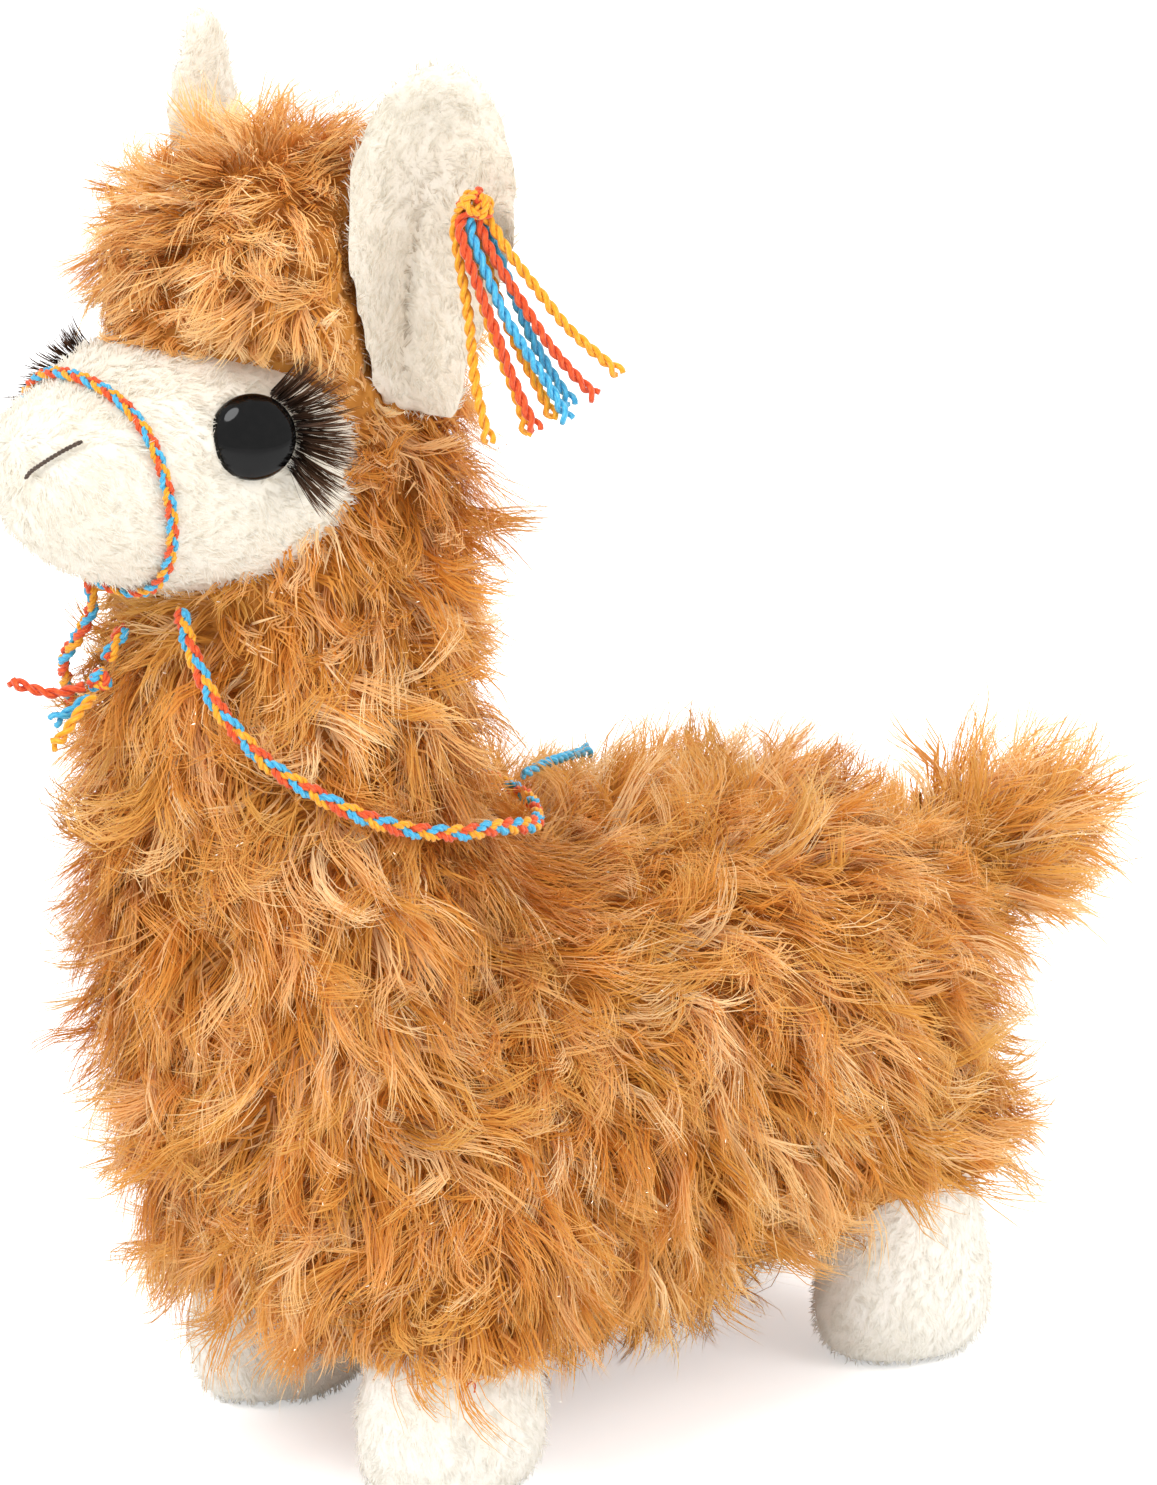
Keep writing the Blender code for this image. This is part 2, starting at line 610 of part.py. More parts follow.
def make_eyelash(side_name, side, frame, face_surface):
    """Make one comb of lashes: a strip on the plush round the upper back of an eye, drawn out to each tip."""
    axis = frame.to_3x3() @ Vector((0, 0, 1))
    pitch = (LASH_LAST_ANGLE - LASH_FIRST_ANGLE) / LASH_COUNT
    rings, tips = [], []
    for i in range(2 * LASH_COUNT):
        turn = LASH_FIRST_ANGLE + pitch * (i // 2 + (0.3 if i % 2 == 0 else 0.7))
        outwards = frame.to_3x3() @ Vector((side * math.cos(turn), math.sin(turn), 0))
        spot = face_surface.ray_cast(frame.translation + (outwards + axis) * LASH_STRIP_RADIUS, -axis)[0]
        root = spot + axis * (LASH_STRIP_THICKNESS / 2 + YARN_REST)
        corners = ((-1, -1), (-1, 1), (1, 1), (1, -1))
        rings.append([root + (outwards * out + axis * up) * LASH_STRIP_THICKNESS / 2 for out, up in corners])
        if i % 2:
            swept = frame.to_3x3() @ Vector((side * math.cos(turn - LASH_SWEEP), math.sin(turn - LASH_SWEEP), 0))
            rise = swept * math.cos(LASH_LIFT) + axis * math.sin(LASH_LIFT)
            tips.append((sum(rings[-1] + rings[-2], Vector()) / 8 + rise * LASH_LENGTH, rise))
    form = bmesh.new()
    form.from_mesh(loft(rings))
    form.faces.ensure_lookup_table()
    for i, (tip, rise) in enumerate(tips):
        quads = form.faces[8 * i:8 * i + 4]
        chosen = max(quads, key=lambda quad: quad.normal.dot(rise))
        fan = bmesh.ops.poke(form, faces=[chosen])
        fan["verts"][0].co = tip
        form.faces.ensure_lookup_table()
    mesh = bpy.data.meshes.new(f"eyelash_{side_name}")
    form.to_mesh(mesh)
    form.free()
    return smooth(add_object(f"eyelash_{side_name}", mesh, "lash_fibre"))


def make_tube(name, points, diameter, material_name=None, resolution=2, cyclic=False):
    """Make a tube through points, as a curve with filled caps."""
    curve = bpy.data.curves.new(name, "CURVE")
    curve.dimensions = "3D"
    curve.bevel_depth = diameter / 2
    curve.bevel_resolution = resolution
    curve.use_fill_caps = True
    spline = curve.splines.new("POLY")
    spline.points.add(len(points) - 1)
    for spot, point in zip(spline.points, points):
        spot.co = (*point, 1)
    spline.use_cyclic_u = cyclic
    return add_object(name, curve, material_name)


def smooth_route(points, spacing):
    """Return points at an even spacing on the smooth curve through a route's own points."""
    dense = []
    ends = [points[0] * 2 - points[1], *points, points[-1] * 2 - points[-2]]
    for before, start, finish, after in zip(ends, ends[1:], ends[2:], ends[3:]):
        for step in range(12):
            t = step / 12
            dense.append(0.5 * (2 * start + (finish - before) * t + (2 * before - 5 * start + 4 * finish - after) * t ** 2
                                + (3 * start - before - 3 * finish + after) * t ** 3))
    dense.append(points[-1])
    lengths = [0.0]
    for start, finish in zip(dense, dense[1:]):
        lengths.append(lengths[-1] + (finish - start).length)
    count = max(2, round(lengths[-1] / spacing))
    route, place = [], 0
    for step in range(count + 1):
        target = lengths[-1] * step / count
        while place < len(dense) - 2 and lengths[place + 1] < target:
            place += 1
        share = (target - lengths[place]) / max(lengths[place + 1] - lengths[place], 1e-9)
        route.append(dense[place].lerp(dense[place + 1], share))
    return route


def face_point(face_surface, distance, turn, height):
    """Return a point off the face at a distance behind the nose, turned from the top, with the normal there."""
    middle = Vector((0, NOSE_TIP + distance, MUZZLE_HEIGHT))
    ray = Vector((math.sin(turn), 0, math.cos(turn)))
    spot, normal = face_surface.ray_cast(middle + ray * RAY_START, -ray)[:2]
    return spot + normal * height


def noseband_route(face_surface):
    """Return the ring of points of the noseband, on the plush all round the muzzle."""
    route = []
    for i in range(NOSEBAND_POINTS):
        turn = math.tau * i / NOSEBAND_POINTS
        distance = NOSEBAND_TOP + (NOSEBAND_CHIN - NOSEBAND_TOP) * (1 - math.cos(turn)) / 2
        route.append(face_point(face_surface, distance, turn, BRAID_DIAMETER / 2 + YARN_REST))
    return route


def mouth_route(face_surface, side):
    """Return the points of the mouth stitch on one side of the muzzle."""
    route = []
    for across, height in MOUTH_LINE:
        spot, normal = face_surface.ray_cast(Vector((side * across * MM, NOSE_TIP - RAY_START, height * MM)),
                                             Vector((0, 1, 0)))[:2]
        route.append(spot + normal * (STITCH_DIAMETER / 2 + YARN_REST))
    return route


def ear_point(side, along, across, off=0.0):
    """Return a point of an ear's middle surface: a share of its length and of its half width."""
    for (low, half0, cup0), (high, half1, cup1) in zip(EAR_SECTIONS, EAR_SECTIONS[1:]):
        if along <= high:
            break
    share = (along - low) / (high - low)
    half, cup = ((a + (b - a) * share) * MM for a, b in ((half0, half1), (cup0, cup1)))
    bow = EAR_BOW * math.sin(math.pi * along)
    local = Vector((half * across, -cup * (1 - across * across) + bow + off, EAR_LENGTH * along))
    return ear_frame(side) @ local


def ear_frame(side):
    """Return the frame of an ear: X across it, -Y into the head, Z up to its tip."""
    lean = Matrix.Rotation(side * EAR_SPLAY, 4, "Y")
    facing = Matrix.Rotation(side * (math.pi + EAR_FACING), 4, "Z")
    return Matrix.Translation(mirrored(EAR_ROOT, side)) @ lean @ facing


def ear_form(name, side, grow=0.0):
    """Return a cupped ear: a crescent section, folded deep at the root and open towards the tip."""
    rings = []
    columns = 7
    for along, half_width, _ in EAR_SECTIONS:
        rim = math.copysign(1, side)
        front, back = [], []
        for i in range(columns):
            across = -1 + 2 * i / (columns - 1)
            half_thickness = EAR_THICKNESS / 2 * (0.45 + 0.55 * math.sqrt(1 - across * across)) + grow
            wide = across * (1 + grow / (half_width * MM))
            front.append(ear_point(side, along, wide * rim, half_thickness))
            back.append(ear_point(side, along, wide * rim, -half_thickness))
        rings.append(front + back[::-1])
    if grow:
        rings[0] = [point - Vector((0, 0, grow)) for point in rings[0]]
        rings[-1] = [point + Vector((0, 0, grow)) for point in rings[-1]]
    return add_object(name, loft(rings), "cream_plush")


def foot_form(name, x, y, grow=0.0):
    """Return a foot: flat-soled and round-toed, narrowing up into the leg."""
    levels = ((0.0, 1 - SOLE_ROUNDING / FOOT_WIDTH), (0.045, 0.92), (0.16, 1.0), (0.32, 0.99), (0.5, 0.88),
              (0.75, 0.74), (1.0, 0.62))
    rings = []
    for level, share in levels:
        section = oval(FOOT_WIDTH / 2 * share + grow, FOOT_LENGTH / 2 * share + grow, FOOT_SIDES)
        z = FOOT_HEIGHT * level - (grow if level == 0 else 0) + (grow if level == 1 else 0)
        rings.append([(x + u, y + v, z) for u, v in section])
    return add_object(name, loft(rings), "cream_plush")


def tassel_route(seat, aside, ahead, layer, place, splay, drop):
    """Return the route of one hanging yarn: down out of the knot, then splaying to the back of the ear."""
    knot_reach = (KNOT_DIAMETER + YARN_DIAMETER) / 2 + SEAM_GAP
    depth = math.sqrt(knot_reach ** 2 - place ** 2 - (layer * TASSEL_LAYER) ** 2)
    start = seat + aside * place + ahead * layer * TASSEL_LAYER - Vector((0, 0, depth))
    route = []
    for share in (i / 5 for i in range(6)):
        swing = aside * splay * share ** 1.3 + ahead * TASSEL_OUTWARDS * share ** 0.6
        route.append(start + swing - Vector((0, 0, drop * share)))
    return route


def make_tassel():
    """Make the tassel's knot on the left ear and its eight hanging yarns."""
    seat = ear_point(1, KNOT_UP_EAR, -KNOT_ACROSS_EAR, (EAR_THICKNESS + KNOT_DIAMETER) / 2 + KNOT_REST)
    form = bmesh.new()
    bmesh.ops.create_icosphere(form, subdivisions=2, radius=KNOT_DIAMETER / 2)
    bmesh.ops.translate(form, vec=seat, verts=form.verts)
    mesh = bpy.data.meshes.new("tassel_knot")
    form.to_mesh(mesh)
    form.free()
    add_object("tassel_knot", mesh, "yarn_yellow")
    aside = Vector((math.sin(TASSEL_HEADING), math.cos(TASSEL_HEADING), 0))
    ahead = Vector((aside.y, -aside.x, 0))
    for name, layer, place, splay, drop in TASSEL:
        route = tassel_route(seat, aside, ahead, layer, place * MM, splay * MM, drop * MM)
        make_tube(f"tassel_{name}", route, YARN_DIAMETER, f"yarn_{name.split('_')[0]}", 1)


def make_braid_end():
    """Make the free end of the braid on the chest, its knot and its loose yarns, and return their routes."""
    routes = {"braid_end": (vectors(BRAID_END), BRAID_DIAMETER)}
    make_tube("braid_end", vectors(BRAID_END), BRAID_DIAMETER, "braided_yarn")
    form = bmesh.new()
    bmesh.ops.create_icosphere(form, subdivisions=1, radius=REIN_KNOT_DIAMETER / 2)
    bmesh.ops.translate(form, vec=REIN_KNOT_PLACE, verts=form.verts)
    mesh = bpy.data.meshes.new("rein_knot")
    form.to_mesh(mesh)
    form.free()
    add_object("rein_knot", mesh, "braided_yarn")
    for colour, points in YARN_ENDS.items():
        make_tube(f"yarn_end_{colour}", vectors(points), YARN_DIAMETER, f"yarn_{colour.split('_')[-1]}", 1)
        routes[f"yarn_end_{colour}"] = (vectors(points), YARN_DIAMETER)
    return routes


def vectors(points):
    """Return a route's millimetre points as vectors in metres."""
    return [Vector(point) * MM for point in points]


def rein_route():
    """Return the rein's route: from the chin over the back and round to the chin again."""
    left = vectors(REIN_LEFT)
    right = [mirrored(point, -1) for point in reversed(left)]
    return smooth_route(left + right, REIN_SPACING)


def groove(name, route, diameter, cyclic=False):
    """Return a cutter for the groove that a tube presses into plush: a square that clears its round."""
    width = (diameter + 2 * SEAM_GAP) * math.sqrt(2)
    if not cyclic:
        first, last = (route[0] - route[1]).normalized(), (route[-1] - route[-2]).normalized()
        route = [route[0] + first * SEAM_GAP, *route[1:-1], route[-1] + last * SEAM_GAP]
    return as_cutter(bake(make_tube(name, route, width, None, 0, cyclic)))


def main():
    """Make every piece of the llama."""
    empty_scene()

    face = face_form("face")
    bpy.context.view_layer.update()
    face_surface = surface_of(face)
    band = noseband_route(face_surface)
    rein = rein_route()
    make_tube("noseband", band, BRAID_DIAMETER, "braided_yarn", 2, True)
    make_tube("rein", rein, BRAID_DIAMETER, "braided_yarn")

    sockets = []
    for side_name, side in (("left", 1), ("right", -1)):
        frame = eye_matrix(face_surface, side)
        eye = turned(f"eye_{side_name}", eye_profile(), frame)
        eye.data.materials.append(material("eye_black"))
        smooth(eye)
        washer = turned(f"eye_washer_{side_name}", washer_profile(SHANK_DIAMETER / 2 + SEAM_GAP), frame, ring=True)
        washer.data.materials.append(material("washer_plastic"))
        make_eyelash(side_name, side, frame, face_surface)
        sockets.append(eye_socket(f"{side_name} eye socket", frame))
        make_tube(f"mouth_stitch_{side_name}", mouth_route(face_surface, side), STITCH_DIAMETER, "mouth_thread", 1)
    smooth(boolean(face, "DIFFERENCE", *sockets))

    grown_face = as_cutter(face_form("grown face", SEAM_GAP))
    grown_ears = []
    for side_name, side in (("left", 1), ("right", -1)):
        smooth(ear_form(f"ear_{side_name}", side))
        grown_ears.append(as_cutter(ear_form(f"grown {side_name} ear", side, SEAM_GAP)))
    grown_feet = []
    for name, x, y, _ in foot_places():
        smooth(foot_form(name, x, y))
        grown_feet.append(as_cutter(foot_form(f"grown {name}", x, y, SEAM_GAP)))
    make_tassel()
    loose = make_braid_end()

    make_tail()
    rein_groove = groove("rein groove", rein, BRAID_DIAMETER)
    neck_top = slab("above the collar", COLLAR_HEIGHT - SEAM_GAP / 2, COLLAR_HEIGHT + CROWN_HEIGHT)
    head_base = slab("below the collar", COLLAR_HEIGHT - CROWN_HEIGHT, COLLAR_HEIGHT + SEAM_GAP / 2)
    band_groove = groove("noseband groove", band, BRAID_DIAMETER, True)
    opening = face_opening()
    knot_seat = as_cutter(ellipsoid("knot seat", REIN_KNOT_PLACE, *[REIN_KNOT_DIAMETER] * 3, 8, 6, SEAM_GAP * 2))
    loose_grooves = [groove(f"{name} groove", route, diameter) for name, (route, diameter) in loose.items()]
    make_crown_fur(head_base, opening, grown_face, *grown_ears, band_groove)
    make_fur_body(neck_top, opening, grown_face, tail_seat(), *grown_feet, rein_groove, band_groove,
                  knot_seat, *loose_grooves)


main()
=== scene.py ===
"""Plush llama: the looks of a stuffed toy with long wavy pile, cream plush and a braided yarn halter.

Metres, +Z up. The llama looks along -Y, its left side is +X, and it stands at Z = 0. Every piece is made round
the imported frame. Nothing moves, so all pieces ride on the body "root".
"""

from __future__ import annotations

import json
import logging
import math
from dataclasses import dataclass, field, fields
from enum import Enum

import bmesh
import bpy
import numpy as np
from bpy.types import ID, Material, Mesh, Node, NodeOutputs, NodeSocket, NodeTree, Object
from mathutils import Matrix, Vector, noise
from mathutils.bvhtree import BVHTree
from mathutils.kdtree import KDTree

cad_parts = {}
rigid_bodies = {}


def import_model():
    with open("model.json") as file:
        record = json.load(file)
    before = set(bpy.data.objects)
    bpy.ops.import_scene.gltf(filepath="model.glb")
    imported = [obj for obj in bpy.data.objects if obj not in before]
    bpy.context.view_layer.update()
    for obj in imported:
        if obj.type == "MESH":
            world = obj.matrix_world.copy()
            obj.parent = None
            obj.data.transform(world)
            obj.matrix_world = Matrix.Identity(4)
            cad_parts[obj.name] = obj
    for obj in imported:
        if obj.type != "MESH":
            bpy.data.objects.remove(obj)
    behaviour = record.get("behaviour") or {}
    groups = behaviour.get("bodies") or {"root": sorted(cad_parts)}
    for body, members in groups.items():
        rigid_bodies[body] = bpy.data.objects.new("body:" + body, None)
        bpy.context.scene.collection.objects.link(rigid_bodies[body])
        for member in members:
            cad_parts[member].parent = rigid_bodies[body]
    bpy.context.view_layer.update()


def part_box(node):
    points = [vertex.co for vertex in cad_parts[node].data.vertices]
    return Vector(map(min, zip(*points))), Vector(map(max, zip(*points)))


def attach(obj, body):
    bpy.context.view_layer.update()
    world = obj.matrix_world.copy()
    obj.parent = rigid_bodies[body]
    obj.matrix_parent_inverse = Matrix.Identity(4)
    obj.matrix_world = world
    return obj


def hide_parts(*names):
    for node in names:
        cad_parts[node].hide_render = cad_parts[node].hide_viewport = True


LOG = logging.getLogger("plush_llama")
MM = 0.001
ROOT = "root"
FEET = ("foot_front_left", "foot_front_right", "foot_hind_left", "foot_hind_right")
SIDES = {"left": 1, "right": -1}
Array = np.ndarray
Place = tuple[float, float, float]


# Small tools


def linear(code: str) -> tuple[float, float, float, float]:
    """Turn an sRGB hex colour into the linear colour that a shader takes.

    Args:
        code: six hex digits, as in "D9A066".

    Returns:
        Linear red, green, blue and an alpha of 1.
    """
    parts = [int(code[i:i + 2], 16) / 255 for i in (0, 2, 4)]
    return (*[p / 12.92 if p <= 0.04045 else ((p + 0.055) / 1.055) ** 2.4 for p in parts], 1.0)


def add_node(tree: NodeTree, kind: str, settings: dict | None = None, inputs: dict | None = None) -> Node:
    """Add a shader node.

    Args:
        tree: the material's node tree.
        kind: the node's type name without its "ShaderNode" prefix.
        settings: attributes of the node and their values.
        inputs: input sockets, by name or number, each with a value or an output socket to link.

    Returns:
        The new node.
    """
    node = tree.nodes.new(f"ShaderNode{kind}")
    for name, value in (settings or {}).items():
        setattr(node, name, value)
    for name, value in (inputs or {}).items():
        if isinstance(value, NodeSocket):
            tree.links.new(value, node.inputs[name])
        else:
            node.inputs[name].default_value = value
    return node


def new_material(name: str, inputs: dict[str, float | str]) -> tuple[Material, NodeTree, Node]:
    """Make a material with nodes.

    Args:
        name: the material's name.
        inputs: of its Principled shader, by name, each a number or a hex colour.

    Returns:
        The material, its node tree and its Principled shader.
    """
    made = bpy.data.materials.new(name)
    made.use_nodes = True
    shader = made.node_tree.nodes["Principled BSDF"]
    for socket, value in inputs.items():
        shader.inputs[socket].default_value = linear(value) if isinstance(value, str) else value
    return made, made.node_tree, shader


def strand_values(tree: NodeTree) -> NodeOutputs:
    """Return a strand's own values: Red along it, Green its tint, Blue its lock's tint or its shade."""
    strand = add_node(tree, "Attribute", {"attribute_name": "strand"})
    return add_node(tree, "SeparateColor", inputs={"Color": strand.outputs["Color"]}).outputs


def mottle(tree: NodeTree, scale: float, detail: float = 2.0) -> NodeSocket:
    """Return smooth noise over a piece, from 0 to 1, with so many features to a metre."""
    place = add_node(tree, "TexCoord").outputs["Object"]
    inputs = {"Vector": place, "Scale": scale, "Detail": detail}
    return add_node(tree, "TexNoise", inputs=inputs).outputs["Fac"]


def seen(tree: NodeTree) -> NodeSocket:
    """Return 1 for the rays of the camera and of glossy surfaces, and 0 for the others."""
    rays = add_node(tree, "LightPath").outputs
    inputs = {0: rays["Is Camera Ray"], 1: rays["Is Glossy Ray"]}
    return add_node(tree, "Math", {"operation": "MAXIMUM"}, inputs).outputs[0]


def ramp(tree: NodeTree, factor: NodeSocket, stops: tuple[tuple[float, str], ...]) -> NodeSocket:
    """Colour a value by stops.

    Args:
        tree: the material's node tree.
        factor: the socket with the value.
        stops: places from 0 to 1, each with its hex colour.

    Returns:
        The colour's socket.
    """
    node = add_node(tree, "ValToRGB", inputs={"Fac": factor})
    elements = node.color_ramp.elements
    while len(elements) < len(stops):
        elements.new(0.5)
    for element, (place, code) in zip(elements, stops):
        element.position = place
        element.color = linear(code)
    return node.outputs["Color"]


def blend(tree: NodeTree, factor: NodeSocket | float, below: NodeSocket | str,
          above: NodeSocket | str, mode: str = "MIX") -> NodeSocket:
    """Mix two colours.

    Args:
        tree: the material's node tree.
        factor: how much of the second colour, a socket or a number.
        below: the first colour, a socket or a hex code.
        above: the second colour, a socket or a hex code.
        mode: the blend type.

    Returns:
        The mixed colour's socket.
    """
    inputs = {0: factor, 6: below if not isinstance(below, str) else linear(below),
              7: above if not isinstance(above, str) else linear(above)}
    node = add_node(tree, "Mix", {"data_type": "RGBA", "blend_type": mode, "clamp_result": True}, inputs)
    return node.outputs[2]


def let_through(tree: NodeTree, shader: Node, colour: NodeSocket,
                share: float) -> None:
    """Colour fibres, and let pass some of the light that falls on their far side.

    Args:
        tree: the material's node tree.
        shader: its Principled shader.
        colour: the fibres' colour.
        share: of the light that goes through.
    """
    tree.links.new(colour, shader.inputs["Base Color"])
    through = add_node(tree, "BsdfTranslucent", inputs={"Color": colour})
    inputs = {0: share, 1: shader.outputs["BSDF"], 2: through.outputs["BSDF"]}
    both = add_node(tree, "MixShader", inputs=inputs)
    tree.links.new(both.outputs["Shader"], tree.nodes["Material Output"].inputs["Surface"])


def unit(vectors: Array) -> Array:
    """Scale vectors, along the last axis, to length 1."""
    return vectors / np.maximum(np.linalg.norm(vectors, axis=-1, keepdims=True), 1e-12)


def soft_step(values: Array | float, low: float, high: float) -> Array:
    """Rise smoothly from 0 at low to 1 at high."""
    share = np.clip((np.asarray(values, float) - low) / (np.asarray(high, float) - low), 0, 1)
    return share * share * (3 - 2 * share)


def dress(obj: Object, material: Material) -> None:
    """Give a piece one material alone."""
    obj.data.materials.clear()
    obj.data.materials.append(material)


def finish_piece(obj: Object, material: Material | None,
                 replaces: tuple[str, ...] = ()) -> Object:
    """Dress a piece and hand it to the frame.

    Args:
        obj: the piece, with its place in its mesh.
        material: its material, or none where it has its own.
        replaces: the CAD nodes that it stands for.

    Returns:
        The piece.
    """
    if material is not None:
        dress(obj, material)
    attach(obj, ROOT)
    if replaces:
        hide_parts(*replaces)
    LOG.info("%s: %d faces", obj.name, len(obj.data.polygons))
    return obj


def new_object(name: str, data: ID) -> Object:
    """Put a mesh, a lamp or a camera in the scene."""
    obj = bpy.data.objects.new(name, data)
    bpy.context.scene.collection.objects.link(obj)
    return obj


def aimed(place: Vector, away: Vector) -> Matrix:
    """Return the frame of a camera or lamp at a place, with its back turned one way."""
    return Matrix.Translation(place) @ away.to_track_quat("Z", "Y").to_matrix().to_4x4()


def only(obj: Object) -> Object:
    """Select one object alone and make it active."""
    bpy.ops.object.select_all(action="DESELECT")
    obj.select_set(True)
    bpy.context.view_layer.objects.active = obj
    return obj


def apply_modifier(obj: Object, kind: str, **settings: float | int | bool | str) -> Object:
    """Add one modifier and apply it.

    Args:
        obj: the object.
        kind: the modifier's type.
        settings: its settings.

    Returns:
        The object.
    """
    modifier = only(obj).modifiers.new(kind.lower(), kind)
    for name, value in settings.items():
        setattr(modifier, name, value)
    bpy.ops.object.modifier_apply(modifier=modifier.name)
    return obj


def joined(nodes: tuple[str, ...]) -> bmesh.types.BMesh:
    """Gather the triangles of CAD nodes."""
    form = bmesh.new()
    for node in nodes:
        form.from_mesh(bpy.data.objects[node].data)
    return form


def merged_copy(name: str, nodes: tuple[str, ...]) -> Object:
    """Copy CAD nodes into one new object, with their loose triangles merged.

    Args:
        name: the new object's name.
        nodes: the nodes' names.

    Returns:
        The new object, at the origin.
    """
    form = joined(nodes)
    bmesh.ops.remove_doubles(form, verts=form.verts, dist=0.00001)
    mesh = bpy.data.meshes.new(name)
    form.to_mesh(mesh)
    form.free()
    return new_object(name, mesh)


def vertices_of(obj: Object) -> Array:
    """Return the places of a mesh's vertices, one row each."""
    places = np.empty(len(obj.data.vertices) * 3)
    obj.data.vertices.foreach_get("co", places)
    return places.reshape(-1, 3)


def normals_of(obj: Object) -> Array:
    """Return the normals of a mesh's vertices, one row each."""
    obj.data.update()
    normals = np.empty(len(obj.data.vertices) * 3)
    obj.data.vertex_normals.foreach_get("vector", normals)
    return normals.reshape(-1, 3)


def corners_of(obj: Object) -> Array:
    """Return the vertices of a mesh's triangles, one row each."""
    corners = np.empty(len(obj.data.polygons) * 3, np.int32)
    obj.data.polygons.foreach_get("vertices", corners)
    return corners.reshape(-1, 3)


def set_vertices(obj: Object, places: Array) -> None:
    """Move a mesh's vertices."""
    obj.data.vertices.foreach_set("co", np.ascontiguousarray(places, dtype=np.float32).ravel())
    obj.data.update()


def relaxed(obj: Object, places: Array, rounds: int, share: float = 0.5) -> Array:
    """Smooth places over a mesh's edges.

    Args:
        obj: the mesh object that gives the edges.
        places: one row for each vertex, of any width.
        rounds: how often each place moves.
        share: how far it moves towards the mean of its neighbours.

    Returns:
        The smoothed places.
    """
    edges = np.empty(len(obj.data.edges) * 2, np.int64)
    obj.data.edges.foreach_get("vertices", edges)
    start, end = edges[0::2], edges[1::2]
    count = len(places)
    degree = np.maximum(np.bincount(start, minlength=count) + np.bincount(end, minlength=count), 1)
    for _ in range(rounds):
        total = [np.bincount(start, column[end], count) + np.bincount(end, column[start], count)
                 for column in places.T]
        mean = np.stack(total, axis=1) / degree[:, None]
        places = places + (mean - places) * share
    return places


def in_frame(places: Array, frame: Matrix) -> Array:
    """Return places as a frame sees them."""
    basis = np.array(frame)
    return (places - basis[:3, 3]) @ basis[:3, :3]


def tree_of(*nodes: str) -> BVHTree:
    """Return the search tree of one or more CAD nodes."""
    form = joined(nodes)
    tree = BVHTree.FromBMesh(form)
    form.free()
    return tree


def point_tree(places: Array) -> KDTree:
    """Return the search tree of some points."""
    tree = KDTree(len(places))
    for i, place in enumerate(places):
        tree.insert(place, i)
    tree.balance()
    return tree


def on_skin(skin: BVHTree, start: Vector, way: Vector, lift_mm: float) -> tuple[Array, Array]:
    """Return the place a little off a skin where a ray meets it, and the way off the skin there."""
    spot, normal = (np.array(part) for part in skin.ray_cast(start, way)[:2])
    return spot + normal * lift_mm * MM, normal


# Camera, light and floor


